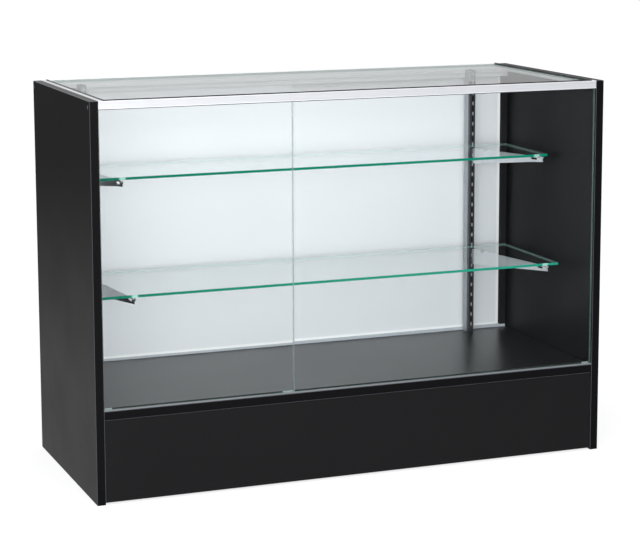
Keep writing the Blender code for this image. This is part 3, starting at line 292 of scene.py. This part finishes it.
def anodised_aluminium(name, along, light, shade, dark_axis="Y", dark_from=-1.0, dark_to=-1.0):
    """Satin anodised aluminium: a pale metal with faint die lines, painted black between two places on one
    axis as painted shade.
    """
    material, tree = empty_material(name)
    place = add_node(tree, "ShaderNodeTexCoord", {})
    # Die lines are about 0.2 mm apart; drawn at 1.2 mm so that they show.
    stretch = {"X": (6.0, 1000 / 1.2, 1000 / 1.2), "Y": (1000 / 1.2, 6.0, 1000 / 1.2),
               "Z": (1000 / 1.2, 1000 / 1.2, 6.0)}[along]
    drawn = add_node(tree, "ShaderNodeMapping", {"Vector": place.outputs["Object"], "Scale": stretch})
    lines = add_node(tree, "ShaderNodeTexNoise", {"Vector": drawn.outputs[0], "Scale": 1.0, "Detail": 2.0})
    tint = add_node(tree, "ShaderNodeMapRange", {
        "Value": lines.outputs["Fac"], "From Min": 0.3, "From Max": 0.7, "To Min": 0.0, "To Max": 1.0})
    colour = add_node(tree, "ShaderNodeMix", {
        "data_type": "RGBA", 0: tint.outputs["Result"], 6: hex_colour(light), 7: hex_colour(shade)})
    spot = add_node(tree, "ShaderNodeSeparateXYZ", {"Vector": place.outputs["Object"]})
    after = add_node(tree, "ShaderNodeMath", {
        "operation": "GREATER_THAN", 0: spot.outputs[dark_axis], 1: dark_from})
    before = add_node(tree, "ShaderNodeMath", {
        "operation": "LESS_THAN", 0: spot.outputs[dark_axis], 1: dark_to})
    black = add_node(tree, "ShaderNodeMath", {
        "operation": "MULTIPLY", 0: after.outputs[0], 1: before.outputs[0]})
    finish = add_node(tree, "ShaderNodeMix", {
        "data_type": "RGBA", 0: black.outputs[0], 6: colour.outputs[2], 7: hex_colour("141816")})
    plated = add_node(tree, "ShaderNodeMath", {
        "operation": "MULTIPLY_ADD", 0: black.outputs[0], 1: -METAL_SHARE, 2: METAL_SHARE})
    dull = add_node(tree, "ShaderNodeMapRange", {
        "Value": lines.outputs["Fac"], "From Min": 0.3, "From Max": 0.7, "To Min": 0.42, "To Max": 0.52})
    drawn_bump = add_node(tree, "ShaderNodeBump", {
        "Height": lines.outputs["Fac"], "Strength": 0.10, "Distance": 0.0001})
    metal = add_node(tree, "ShaderNodeBsdfPrincipled", {
        "Base Color": finish.outputs[2], "Metallic": plated.outputs[0], "Roughness": dull.outputs["Result"],
        "Normal": drawn_bump.outputs["Normal"]})
    add_node(tree, "ShaderNodeOutputMaterial", {"Surface": metal.outputs[0]})
    return material


def moulded_plastic(name, base, shade, roughness, specular):
    """Extruded or moulded plastic: an even colour with faint flow marks."""
    material, tree = empty_material(name)
    place = add_node(tree, "ShaderNodeTexCoord", {})
    # Flow marks of the melt are about 8 mm across.
    flow = add_node(tree, "ShaderNodeTexNoise", {
        "Vector": place.outputs["Object"], "Scale": 1000 / 8, "Detail": 3.0})
    colour = add_node(tree, "ShaderNodeMix", {
        "data_type": "RGBA", 0: flow.outputs["Fac"], 6: hex_colour(base), 7: hex_colour(shade)})
    dull = add_node(tree, "ShaderNodeMapRange", {
        "Value": flow.outputs["Fac"], "From Min": 0.3, "From Max": 0.7,
        "To Min": roughness - 0.04, "To Max": roughness + 0.04})
    plastic = add_node(tree, "ShaderNodeBsdfPrincipled", {
        "Base Color": colour.outputs[2], "Roughness": dull.outputs["Result"], "Specular IOR Level": specular})
    add_node(tree, "ShaderNodeOutputMaterial", {"Surface": plastic.outputs[0]})
    return material


# The lowest 1.5 mm of the front rail's face are painted black, as a painted shadow line under the rail.
shadow_line_bottom, shadow_line_top = 0.85, 0.8587
front_metal = anodised_aluminium("anodised_front_rail", "X", "DCDEE2", "D1D3D7", "Z", shadow_line_bottom, shadow_line_top)
bead_highlight_metal = anodised_aluminium("anodised_rail_bead_highlight", "X", "F2F3F6", "E6E8EC", "Z", shadow_line_bottom, shadow_line_top)
# The rear and side rails are whiter copies of the front rail's anodised finish, as painted light.
rear_lit_metal = anodised_aluminium("anodised_rear_rail_painted_light", "X", "FFFFFF", "F6F7F9")
side_lit_metal = anodised_aluminium("anodised_side_rail_painted_light", "Y", "FAFBFD", "EEF0F3")
rail_corner = 0.0003
front_rail = eased_copy("front_top_rail", "case", front_metal, rail_corner)
# The foremost faces of the front rail, the crests of its beads, get a lighter colour as a painted highlight.
front_rail.data.materials.append(bead_highlight_metal)
rail_front = min(vertex.co.y for vertex in front_rail.data.vertices)
for polygon in front_rail.data.polygons:
    if polygon.center.y < rail_front + rail_corner:
        polygon.material_index = 1
eased_copy("rear_top_rail", "case", rear_lit_metal, rail_corner)
for rail in ("left_side_rail", "right_side_rail"):
    eased_copy(rail, "case", side_lit_metal, rail_corner)
black_vinyl = moulded_plastic("black_extruded_vinyl", "0B0B0C", "121213", roughness=0.20, specular=0.5)
eased_copy("top_glass_gasket", "case", black_vinyl, width=0.0005, segments=3)

# Rail screws
# Pan head steel screws, plated in a darker, duller zinc than the standard screws, sunk flush in the end
# panels and driven into the rails' screw ports. The heads are cold forged, with a crown and a cross recess.


def zinc_plate(name, light, shade, roughness, cloud_size):
    """Zinc, nickel or chromium plate: a soft mirror, clouded over so many millimetres by the bath."""
    material, tree = empty_material(name)
    place = add_node(tree, "ShaderNodeTexCoord", {})
    cloud = add_node(tree, "ShaderNodeTexNoise", {
        "Vector": place.outputs["Object"], "Scale": 1000 / cloud_size, "Detail": 4.0, "Roughness": 0.6})
    colour = add_node(tree, "ShaderNodeMix", {
        "data_type": "RGBA", 0: cloud.outputs["Fac"], 6: hex_colour(light), 7: hex_colour(shade)})
    dull = add_node(tree, "ShaderNodeMapRange", {
        "Value": cloud.outputs["Fac"], "From Min": 0.3, "From Max": 0.7,
        "To Min": roughness - 0.06, "To Max": roughness + 0.06})
    metal = add_node(tree, "ShaderNodeBsdfPrincipled", {
        "Base Color": colour.outputs[2], "Metallic": 1.0, "Roughness": dull.outputs["Result"]})
    add_node(tree, "ShaderNodeOutputMaterial", {"Surface": metal.outputs[0]})
    return material


def spun_piece(name, profile, steps):
    """Spin a profile of (radius, height) points about Z. It starts and ends on the axis, or is closed."""
    piece = add_primitive(bpy.ops.mesh.primitive_plane_add, name, size=0.001)
    bpy.ops.object.mode_set(mode="EDIT")
    bpy.ops.mesh.select_all(action="SELECT")
    bpy.ops.mesh.merge(type="CENTER")
    start = Vector((profile[0][0], 0, profile[0][1]))
    bpy.ops.transform.translate(value=start)
    for (radius, height), (next_radius, next_height) in zip(profile, profile[1:]):
        step = (next_radius - radius, 0, next_height - height)
        bpy.ops.mesh.extrude_region_move(TRANSFORM_OT_translate={"value": step})
    bpy.ops.mesh.select_all(action="SELECT")
    bpy.ops.mesh.spin(steps=steps, angle=2 * pi, center=(0, 0, 0), axis=(0, 0, 1))
    bpy.ops.mesh.select_all(action="SELECT")
    bpy.ops.mesh.remove_doubles(threshold=0.000005)
    bpy.ops.mesh.normals_make_consistent(inside=False)
    bpy.ops.object.mode_set(mode="OBJECT")
    bpy.ops.object.shade_smooth_by_angle(angle=radians(35))
    return piece


def cut_with(piece, cutter):
    """Take a cutter out of a piece, and remove the cutter."""
    bpy.ops.object.select_all(action="DESELECT")
    piece.select_set(True)
    bpy.context.view_layer.objects.active = piece
    opening = piece.modifiers.new("opening", "BOOLEAN")
    opening.operation = "DIFFERENCE"
    opening.solver = "EXACT"
    opening.object = cutter
    bpy.ops.object.modifier_apply(modifier=opening.name)
    bpy.data.objects.remove(cutter, do_unlink=True)


def cross_recess(width, span, depth, height):
    """A cutter for a cross recess: two crossed blades that taper to the bottom of the recess."""
    blades = []
    for turn in (0, pi / 2):
        blade = add_primitive(bpy.ops.mesh.primitive_cube_add, "recess_blade", size=1)
        blade.scale = (span, width, 2 * depth)
        bpy.ops.object.transform_apply(location=False, rotation=False, scale=True)
        bpy.ops.object.mode_set(mode="EDIT")
        shape = bmesh.from_edit_mesh(blade.data)
        for vertex in shape.verts:
            vertex.select_set(vertex.co.z < 0)
        shape.select_flush_mode()
        bmesh.update_edit_mesh(blade.data)
        bpy.ops.transform.resize(value=(0.55, 0.6, 1))
        bpy.ops.object.mode_set(mode="OBJECT")
        blade.rotation_euler = (0, 0, turn)
        blade.location = (0, 0, height)
        bpy.ops.object.transform_apply(location=True, rotation=True, scale=False)
        blades.append(blade)
    bpy.ops.object.select_all(action="DESELECT")
    blades[1].select_set(True)
    blades[0].select_set(True)
    bpy.context.view_layer.objects.active = blades[0]
    joining = blades[0].modifiers.new("crossed", "BOOLEAN")
    joining.operation = "UNION"
    joining.solver = "EXACT"
    joining.object = blades[1]
    bpy.ops.object.modifier_apply(modifier=joining.name)
    bpy.data.objects.remove(blades[1], do_unlink=True)
    return blades[0]


def cross_screw(name, head, thickness, shank, length):
    """A pan head screw along Z. Its crown touches z = 0 and its tip is at -length."""
    crown = [(0, 0), (head * 0.40, -thickness * 0.05), (head * 0.72, -thickness * 0.22),
             (head * 0.93, -thickness * 0.52), (head, -thickness * 0.85), (head * 0.97, -thickness)]
    stem = [(shank, -thickness), (shank, -length + shank * 0.8), (shank * 0.45, -length), (0, -length)]
    screw = spun_piece(name, crown + stem, 32)
    cut_with(screw, cross_recess(head * 0.26, head * 1.15, thickness * 0.62, -thickness * 0.02))
    bpy.ops.object.shade_smooth_by_angle(angle=radians(35))
    return screw


def set_piece(model, name, turn, place, material, body, slot, *nodes):
    """A copy of a modelled piece with its own mesh, turned and put in its place in the mesh."""
    bpy.ops.object.select_all(action="DESELECT")
    model.select_set(True)
    bpy.context.view_layer.objects.active = model
    bpy.ops.object.duplicate()
    piece = bpy.context.object
    piece.name = name
    piece.data.name = name
    piece.rotation_euler = turn
    piece.location = place
    bpy.ops.object.transform_apply(location=True, rotation=True, scale=True)
    piece.data.materials.clear()
    piece.data.materials.append(material)
    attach(piece, body)
    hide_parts(*nodes)
    return piece


SIDES = {"left": -1, "right": 1}
screw_zinc = zinc_plate("bright_zinc_screws", "E8EAEC", "D2D6DA", roughness=0.30, cloud_size=3)
dark_zinc = zinc_plate("dulled_zinc_screws", "8E9194", "7C7F83", roughness=0.45, cloud_size=3)
rail_screw = cross_screw("rail_screw_model", head=0.0038, thickness=0.0018, shank=0.0020, length=0.0328)
half_case = 0.6096
for side, sign in SIDES.items():
    for rail in ("front", "rear"):
        low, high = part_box(f"{side}_{rail}_rail_screw")
        outside = (sign * half_case, (low[1] + high[1]) / 2, (low[2] + high[2]) / 2)
        set_piece(rail_screw, f"{side}_{rail}_crowned_screw", (0, sign * pi / 2, 0), outside, dark_zinc,
                  "case", "bright_zinc", f"{side}_{rail}_rail_screw")
bpy.data.objects.remove(rail_screw, do_unlink=True)

# Glass
# Clear float glass, 6 mm, cut to size with ground arrises. The faces are almost invisible, except at a
# grazing angle. The cut edges look green, because light has come a long way through the glass: greyish on
# the panes and the top, and deep green on the shelves further down.


def float_glass(name, across, bend, edge_dark, edge_light, edge_share, glint_places=()):
    """Float glass whose faces point along one axis; every other face is a cut edge."""
    material, tree = empty_material(name)
    place = add_node(tree, "ShaderNodeTexCoord", {})
    facing = add_node(tree, "ShaderNodeSeparateXYZ", {"Vector": place.outputs["Normal"]})
    flat = add_node(tree, "ShaderNodeMath", {"operation": "ABSOLUTE", 0: facing.outputs[across]})
    edge = add_node(tree, "ShaderNodeMath", {"operation": "LESS_THAN", 0: flat.outputs[0], 1: 0.9})
    side = add_node(tree, "ShaderNodeNewGeometry", {})
    outside = add_node(tree, "ShaderNodeMath", {
        "operation": "SUBTRACT", 0: 1.0, 1: side.outputs["Backfacing"]})
    mirror = add_node(tree, "ShaderNodeFresnel", {"IOR": bend})
    # The outer face carries the sheet's whole gloss, so that the inner one isn't counted again.
    share = add_node(tree, "ShaderNodeMath", {
        "operation": "MULTIPLY", 0: mirror.outputs[0], 1: outside.outputs[0]})
    clear = add_node(tree, "ShaderNodeBsdfTransparent", {"Color": hex_colour("FEFFFF")})
    gloss = add_node(tree, "ShaderNodeBsdfAnisotropic", {"Color": hex_colour("FDFEFE"), "Roughness": 0.0})
    face = add_node(tree, "ShaderNodeMixShader", {
        0: share.outputs[0], 1: clear.outputs[0], 2: gloss.outputs[0]})
    along = add_node(tree, "ShaderNodeSeparateXYZ", {"Vector": place.outputs["Object"]})
    # Wheel marks along a ground edge, about 5 mm apart.
    ground = add_node(tree, "ShaderNodeTexNoise", {
        "Vector": place.outputs["Object"], "Scale": 1000 / 5, "Detail": 3.0})
    # The edges are painted lighter from the left end to the right one, as painted light.
    painted_light_ramp = add_node(tree, "ShaderNodeMapRange", {
        "Value": along.outputs["X"], "From Min": -0.55, "From Max": 0.57, "To Min": 0.0, "To Max": 0.75})
    shade = add_node(tree, "ShaderNodeMath", {
        "operation": "MULTIPLY_ADD", 0: ground.outputs["Fac"], 1: 0.22, 2: painted_light_ramp.outputs["Result"]})
    green = add_node(tree, "ShaderNodeMix", {
        "data_type": "RGBA", 0: shade.outputs[0], 6: hex_colour(edge_dark), 7: hex_colour(edge_light)})
    lit_green = green.outputs[2]
    # Each bracket's plated nose, seen through the edge above it, is painted there as a pale glint.
    for glint_place in glint_places:
        offset = add_node(tree, "ShaderNodeMath", {
            "operation": "SUBTRACT", 0: along.outputs["X"], 1: glint_place})
        away = add_node(tree, "ShaderNodeMath", {"operation": "ABSOLUTE", 0: offset.outputs[0]})
        near = add_node(tree, "ShaderNodeMapRange", {
            "interpolation_type": "SMOOTHSTEP", "Value": away.outputs[0],
            "From Min": 0.004, "From Max": 0.010, "To Min": 0.75, "To Max": 0.0})
        lit = add_node(tree, "ShaderNodeMix", {
            "data_type": "RGBA", 0: near.outputs["Result"], 6: lit_green, 7: hex_colour("BFE9DD")})
        lit_green = lit.outputs[2]
    # From inside the sheet an edge is only a thin pale line, because its ground face scatters light inwards.
    rim_green = add_node(tree, "ShaderNodeMix", {
        "data_type": "RGBA", 0: side.outputs["Backfacing"], 6: lit_green, 7: hex_colour("A6CDC3")})
    cut = add_node(tree, "ShaderNodeBsdfPrincipled", {
        "Base Color": rim_green.outputs[2], "Roughness": 0.24, "Specular IOR Level": 0.2})
    solid_share = add_node(tree, "ShaderNodeMapRange", {
        "Value": side.outputs["Backfacing"], "From Min": 0.0, "From Max": 1.0,
        "To Min": edge_share, "To Max": edge_share * 0.40})
    rim = add_node(tree, "ShaderNodeMixShader", {
        0: solid_share.outputs["Result"], 1: clear.outputs[0], 2: cut.outputs[0]})
    sheet = add_node(tree, "ShaderNodeMixShader", {
        0: edge.outputs[0], 1: face.outputs[0], 2: rim.outputs[0]})
    add_node(tree, "ShaderNodeOutputMaterial", {"Surface": sheet.outputs[0]})
    return material


cover_glass = float_glass("float_glass_top", "Z", 1.5, "5A7F77", "6E958C", edge_share=0.8)
# The upright panes show hardly any reflection, so they bend light less than glass does.
pane_glass = float_glass("float_glass_pane", "Y", 1.2, "A0ABAC", "ABB5B6", edge_share=0.55)
dress(cover_glass, "top_glass")
dress(pane_glass, "front_glass_left", "front_glass_right")

# Front bottom channel and its glazing blocks
# A narrow aluminium channel on the front edge of the deck, open at the top, and three blocks of translucent
# vinyl in it that carry the panes and wedge them against its front wall. Its silver is greyed as painted
# shade, and its groove is painted black as the shade inside it.
block_vinyl = moulded_plastic("translucent_vinyl_block", "A9B5B1", "98A5A1", roughness=0.35, specular=0.5)
groove_shade_front, groove_shade_rear = -0.2518, -0.2412
shaded_channel_metal = anodised_aluminium("anodised_channel_painted_shade", "X", "8C9094", "80848A", "Y", groove_shade_front, groove_shade_rear)
eased_copy("front_glass_channel", "case", shaded_channel_metal, width=0.0002)
for block in ("left_glazing_block", "centre_glazing_block", "right_glazing_block"):
    eased_copy(block, "case", block_vinyl, width=0.0002)

# Door tracks and jambs
# Two-groove plastic extrusions: a light grey one on the deck, a pale one under the rear rail, and a black
# one on each end panel that closes the gap beside the doors.
pale_plastic = moulded_plastic("pale_plastic_extrusion", "E9ECEE", "DDE1E4", roughness=0.35, specular=0.5)
grey_plastic = moulded_plastic("grey_plastic_extrusion", "C4CAD0", "BAC0C6", roughness=0.35, specular=0.5)
black_plastic = moulded_plastic("black_plastic_extrusion", "161618", "1E1E21", roughness=0.38, specular=0.35)
eased_copy("lower_door_track", "case", grey_plastic, width=0.0003)
eased_copy("upper_door_track", "case", pale_plastic, width=0.0003)
for jamb in ("left_door_jamb", "right_door_jamb"):
    eased_copy(jamb, "case", black_plastic, width=0.0004)

# Sliding doors
# Hardboard, 6 mm, with a baked white face. They run in the tracks, and their outer and bottom edges are
# painted pure white, as a painted highlight.
door_white, tree = empty_material("white_faced_hardboard")
place = add_node(tree, "ShaderNodeTexCoord", {})
# Roller marks of the paint are about 3 mm across, and its tone drifts over some 260 mm.
peel = add_node(tree, "ShaderNodeTexNoise", {
    "Vector": place.outputs["Object"], "Scale": 1000 / 3, "Detail": 2.0})
cloud = add_node(tree, "ShaderNodeTexNoise", {
    "Vector": place.outputs["Object"], "Scale": 1000 / 260, "Detail": 2.0})
sheet_colour = add_node(tree, "ShaderNodeMix", {
    "data_type": "RGBA", 0: cloud.outputs["Fac"], 6: hex_colour("F0F2F5"), 7: hex_colour("EBEEF1")})
parts = add_node(tree, "ShaderNodeSeparateXYZ", {"Vector": place.outputs["Object"]})
aside = add_node(tree, "ShaderNodeMath", {"operation": "ABSOLUTE", 0: parts.outputs["X"]})
# The outer and bottom edges of the face are painted pure white, as a painted highlight.
side_highlight, foot_highlight = 0.5675, 0.2185
at_side = add_node(tree, "ShaderNodeMath", {
    "operation": "GREATER_THAN", 0: aside.outputs[0], 1: side_highlight})
at_foot = add_node(tree, "ShaderNodeMath", {
    "operation": "LESS_THAN", 0: parts.outputs["Z"], 1: foot_highlight})
highlight_edges = add_node(tree, "ShaderNodeMath", {
    "operation": "MAXIMUM", 0: at_side.outputs[0], 1: at_foot.outputs[0]})
colour = add_node(tree, "ShaderNodeMix", {
    "data_type": "RGBA", 0: highlight_edges.outputs[0], 6: sheet_colour.outputs[2], 7: hex_colour("FFFFFF")})
dull = add_node(tree, "ShaderNodeMapRange", {
    "Value": peel.outputs["Fac"], "From Min": 0.3, "From Max": 0.7, "To Min": 0.40, "To Max": 0.50})
pressed = add_node(tree, "ShaderNodeBump", {
    "Height": peel.outputs["Fac"], "Strength": 0.08, "Distance": 0.0001})
sheet = add_node(tree, "ShaderNodeBsdfPrincipled", {
    "Base Color": colour.outputs[2], "Roughness": dull.outputs["Result"], "Specular IOR Level": 0.4,
    "Normal": pressed.outputs["Normal"]})
add_node(tree, "ShaderNodeOutputMaterial", {"Surface": sheet.outputs[0]})
dress(door_white, "left_sliding_door", "right_sliding_door")

# Finger pulls
# Pressed steel cups, 25 mm across, with a rolled flange of 31 mm, nickel plated and let into the doors' rear
# faces. The plate is warm and soft, and the cup's wall shades it.
pull_nickel = zinc_plate("nickel_plated_pull", "E4E1DB", "D6D2CA", roughness=0.24, cloud_size=6)
flange_rise = 0.0011
pull_cup = spun_piece("pull_cup_model", [
    (0, -0.0038), (0.0090, -0.0038), (0.0104, -0.0035), (0.0112, -0.0026), (0.0114, -0.0008),
    (0.0118, 0.0004), (0.0126, 0.0010), (0.0140, 0.0011), (0.0150, 0.0009), (0.0155, 0.0006),
    (0.0155, 0.0003), (0.0127, 0.0003), (0.0127, -0.0034), (0.0120, -0.0044), (0.0108, -0.0046),
    (0, -0.0046)], steps=48)
for side in SIDES:
    low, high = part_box(f"{side}_finger_pull")
    centre = ((low[0] + high[0]) / 2, high[1] - flange_rise, (low[2] + high[2]) / 2)
    set_piece(pull_cup, f"{side}_pull_cup", (-pi / 2, 0, 0), centre, pull_nickel, f"{side}_door",
              "bright_zinc", f"{side}_finger_pull")
bpy.data.objects.remove(pull_cup, do_unlink=True)

# Plunger lock
# A die-cast barrel with a flange on the rear of the right door, a plunger that is pushed in, a key plug with
# its keyway, and a plain ferrule in the left door. All are chromium plated and polished.
lock_chrome = zinc_plate("polished_chrome_lock", "EEF0F2", "E2E5E8", roughness=0.12, cloud_size=8)
lock_axis = (0, 0.2186, 0.5066)
TURN_REAR = (-pi / 2, 0, 0)
barrel = spun_piece("lock_barrel_model", [
    (0.0065, 0.0003), (0.0130, 0.0003), (0.0130, 0.0013), (0.0126, 0.0020), (0.0118, 0.0023),
    (0.0100, 0.0023), (0.0095, 0.0028), (0.0095, 0.0168), (0.0091, 0.0179), (0.0083, 0.0183),
    (0.0069, 0.0183), (0.0065, 0.0180), (0.0065, 0.0003)], steps=64)
set_piece(barrel, "lock_barrel", TURN_REAR, lock_axis, lock_chrome, "right_door", "lock_chrome",
          "lock_body")
bpy.data.objects.remove(barrel, do_unlink=True)
plunger = spun_piece("lock_plunger_model", [
    (0, -0.0055), (0.0029, -0.0055), (0.0035, -0.0050), (0.0035, 0.0030), (0.0058, 0.0030), (0.0062, 0.0034),
    (0.0062, 0.0214), (0.0060, 0.0220), (0.0055, 0.0223), (0.0047, 0.0223), (0.0045, 0.0221),
    (0.0045, 0.0100), (0, 0.0100)], steps=48)
set_piece(plunger, "lock_push_barrel", TURN_REAR, lock_axis, lock_chrome, "lock_plunger", "lock_chrome",
          "lock_plunger")
bpy.data.objects.remove(plunger, do_unlink=True)
plug = spun_piece("lock_plug_model", [
    (0, 0.0103), (0.0042, 0.0103), (0.0042, 0.0219), (0.0040, 0.0222), (0.0037, 0.0223), (0, 0.0223)],
    steps=40)
keyway = add_primitive(bpy.ops.mesh.primitive_cube_add, "keyway", size=1)
keyway.scale = (0.0012, 0.0056, 0.0080)
keyway.location = (0, 0, 0.0223)
bpy.ops.object.transform_apply(location=True, rotation=True, scale=True)
cut_with(plug, keyway)
bpy.ops.object.shade_smooth_by_angle(angle=radians(35))
set_piece(plug, "lock_keyway_plug", TURN_REAR, lock_axis, lock_chrome, "lock_key_plug", "lock_chrome",
          "lock_key_plug")
bpy.data.objects.remove(plug, do_unlink=True)
ferrule = spun_piece("lock_ferrule_model", [
    (0.0041, -0.0035), (0.0060, -0.0035), (0.0060, -0.0003), (0.0057, 0), (0.0044, 0), (0.0041, -0.0003),
    (0.0041, -0.0035)], steps=48)
receiver_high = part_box("lock_receiver")[1]
set_piece(ferrule, "lock_ferrule", TURN_REAR, (0, receiver_high[1], lock_axis[2]), lock_chrome, "left_door",
          "lock_chrome", "lock_receiver")
bpy.data.objects.remove(ferrule, do_unlink=True)

# Rear posts and slotted standards
# Each post is a silver tube between the deck and the top glass, greyed as painted shade, and painted black
# where the standard covers it, as the shade behind the slots. A dark channel with a slot at every inch is
# screwed to its front; the lands between the slots are lighter.
# The post's face behind the standard is painted black, as painted shade seen through the slots.
slot_shade_from, slot_shade_to = 0.178, 0.1786
shaded_post_metal = anodised_aluminium("anodised_post_painted_shade", "Z", "B2B5B9", "A6A9AD", "Y", slot_shade_from, slot_shade_to)
for post in ("left_post", "right_post"):
    eased_copy(post, "case", shaded_post_metal, width=0.0004)

standard_steel, tree = empty_material("dark_plated_steel")
place = add_node(tree, "ShaderNodeTexCoord", {})
parts = add_node(tree, "ShaderNodeSeparateXYZ", {"Vector": place.outputs["Object"]})
off_centre = []
for side in SIDES:
    low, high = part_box(f"{side}_standard")
    offset = add_node(tree, "ShaderNodeMath", {
        "operation": "SUBTRACT", 0: parts.outputs["X"], 1: (low[0] + high[0]) / 2})
    off_centre.append(add_node(tree, "ShaderNodeMath", {"operation": "ABSOLUTE", 0: offset.outputs[0]}))
nearer = add_node(tree, "ShaderNodeMath", {
    "operation": "MINIMUM", 0: off_centre[0].outputs[0], 1: off_centre[1].outputs[0]})
# The lighter places lie on the standard's front rib, within 1.7 mm of its middle.
light_land_half_width, rib_front = 0.0017, 0.16795
on_rib = add_node(tree, "ShaderNodeMath", {
    "operation": "LESS_THAN", 0: nearer.outputs[0], 1: light_land_half_width})
ahead_of = add_node(tree, "ShaderNodeMath", {
    "operation": "LESS_THAN", 0: parts.outputs["Y"], 1: rib_front})
on_front = add_node(tree, "ShaderNodeMath", {
    "operation": "MULTIPLY", 0: on_rib.outputs[0], 1: ahead_of.outputs[0]})
# The slots are 25.4 mm apart and the lowest one starts 234.1 mm above the floor. The lands are above them,
# so a lighter place has its middle at 0.775 of a pitch, and reaches 0.15 of a pitch up and down.
lowest_slot, slot_pitch, land_middle, land_reach = 0.2341, 0.0254, 0.775, 0.15
height = add_node(tree, "ShaderNodeMath", {"operation": "SUBTRACT", 0: parts.outputs["Z"], 1: lowest_slot})
pitches = add_node(tree, "ShaderNodeMath", {"operation": "DIVIDE", 0: height.outputs[0], 1: slot_pitch})
share = add_node(tree, "ShaderNodeMath", {"operation": "FRACT", 0: pitches.outputs[0]})
from_land = add_node(tree, "ShaderNodeMath", {"operation": "SUBTRACT", 0: share.outputs[0], 1: land_middle})
past_land = add_node(tree, "ShaderNodeMath", {"operation": "ABSOLUTE", 0: from_land.outputs[0]})
on_land = add_node(tree, "ShaderNodeMath", {
    "operation": "LESS_THAN", 0: past_land.outputs[0], 1: land_reach})
bright = add_node(tree, "ShaderNodeMath", {
    "operation": "MULTIPLY", 0: on_front.outputs[0], 1: on_land.outputs[0]})
# Plating stains are about 12 mm across.
stain = add_node(tree, "ShaderNodeTexNoise", {
    "Vector": place.outputs["Object"], "Scale": 1000 / 12, "Detail": 4.0})
stained = add_node(tree, "ShaderNodeMix", {
    "data_type": "RGBA", 0: stain.outputs["Fac"], 6: hex_colour("3E4044"), 7: hex_colour("54565B")})
# The top 27 mm, where the two screws are, are painted pale, as a painted reflection of the light from above.
painted_light_from = 0.8420
at_top = add_node(tree, "ShaderNodeMath", {"operation": "GREATER_THAN", 0: parts.outputs["Z"], 1: painted_light_from})
dark_tone = add_node(tree, "ShaderNodeMix", {
    "data_type": "RGBA", 0: at_top.outputs[0], 6: stained.outputs[2], 7: hex_colour("B4B8BC")})
colour = add_node(tree, "ShaderNodeMix", {
    "data_type": "RGBA", 0: bright.outputs[0], 6: dark_tone.outputs[2], 7: hex_colour("C2C8CA")})
dull = add_node(tree, "ShaderNodeMapRange", {
    "Value": stain.outputs["Fac"], "From Min": 0.3, "From Max": 0.7, "To Min": 0.30, "To Max": 0.42})
steel = add_node(tree, "ShaderNodeBsdfPrincipled", {
    "Base Color": colour.outputs[2], "Metallic": 0.6, "Roughness": dull.outputs["Result"]})
add_node(tree, "ShaderNodeOutputMaterial", {"Surface": steel.outputs[0]})
for standard in ("left_standard", "right_standard"):
    eased_copy(standard, "case", standard_steel, width=0.0002, segments=1)

# Standard screws
# Two small pan head screws, bright zinc, go through the top of each standard into its post. They show white
# through the top glass.
LEVELS = ("upper", "lower")
standard_screw = cross_screw(
    "standard_screw_model", head=0.0028, thickness=0.0014, shank=0.0014, length=0.0174)
for side in SIDES:
    for level in LEVELS:
        low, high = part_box(f"{side}_standard_{level}_screw")
        crown = ((low[0] + high[0]) / 2, low[1], (low[2] + high[2]) / 2)
        set_piece(standard_screw, f"{side}_{level}_crowned_screw", (pi / 2, 0, 0), crown, screw_zinc, "case",
                  "bright_zinc", f"{side}_standard_{level}_screw")
bpy.data.objects.remove(standard_screw, do_unlink=True)

# Shelf brackets
# Sheet steel, 1.8 mm, blanked to a tapered blade with two hooks, an oval hole and a notched nose, and
# plated in bright zinc. The hooks drop into the slots, and the blades toe outwards.
bracket_zinc = zinc_plate("bright_zinc_bracket", "F0F2F3", "DDE0E3", roughness=0.34, cloud_size=10)
for level in LEVELS:
    for side in SIDES:
        eased_copy(f"{level}_{side}_bracket", "case", bracket_zinc, width=0.0002)

# Clear rests
# Soft clear plastic caps that clip on the top edge of each bracket and keep the shelf off the steel.
clear_soft, tree = empty_material("clear_soft_plastic")
place = add_node(tree, "ShaderNodeTexCoord", {})
# The moulding's haze drifts over about 4 mm.
haze = add_node(tree, "ShaderNodeTexNoise", {
    "Vector": place.outputs["Object"], "Scale": 1000 / 4, "Detail": 2.0})
dull = add_node(tree, "ShaderNodeMapRange", {
    "Value": haze.outputs["Fac"], "From Min": 0.3, "From Max": 0.7, "To Min": 0.08, "To Max": 0.20})
soft_cap = add_node(tree, "ShaderNodeBsdfPrincipled", {
    "Base Color": hex_colour("E4EFEC"), "Roughness": dull.outputs["Result"], "IOR": 1.48, "Alpha": 0.45})
add_node(tree, "ShaderNodeOutputMaterial", {"Surface": soft_cap.outputs[0]})
for level in LEVELS:
    for side in SIDES:
        for end in ("front", "rear"):
            eased_copy(f"{level}_{side}_{end}_rest", "case", clear_soft, width=0.0004)

# Glass shelves
# Float glass, 6 mm, loose on the rests, with ground edges of a deep green. The upper shelf is less deep than
# the lower one, and the edge above each bracket's bright nose carries a painted glint.
upper_shelf_glass = float_glass(
    "float_glass_upper_shelf", "Z", 1.5, "00745D", "0A8D73", edge_share=1.0, glint_places=(0.5400, -0.4870))
lower_shelf_glass = float_glass(
    "float_glass_lower_shelf", "Z", 1.5, "00745D", "2AA48B", edge_share=1.0, glint_places=(0.5330, -0.4810))
dress(upper_shelf_glass, "upper_glass_shelf")
dress(lower_shelf_glass, "lower_glass_shelf")

# Cam fittings
# Die-cast zinc cams, 15 mm across, let into the underside of the deck near its ends. Each has a driver slot,
# and pulls the deck tight against its end panel.
for side in SIDES:
    for end in ("front", "rear"):
        eased_copy(f"{side}_{end}_cam_fitting", "case", screw_zinc, width=0.0003)
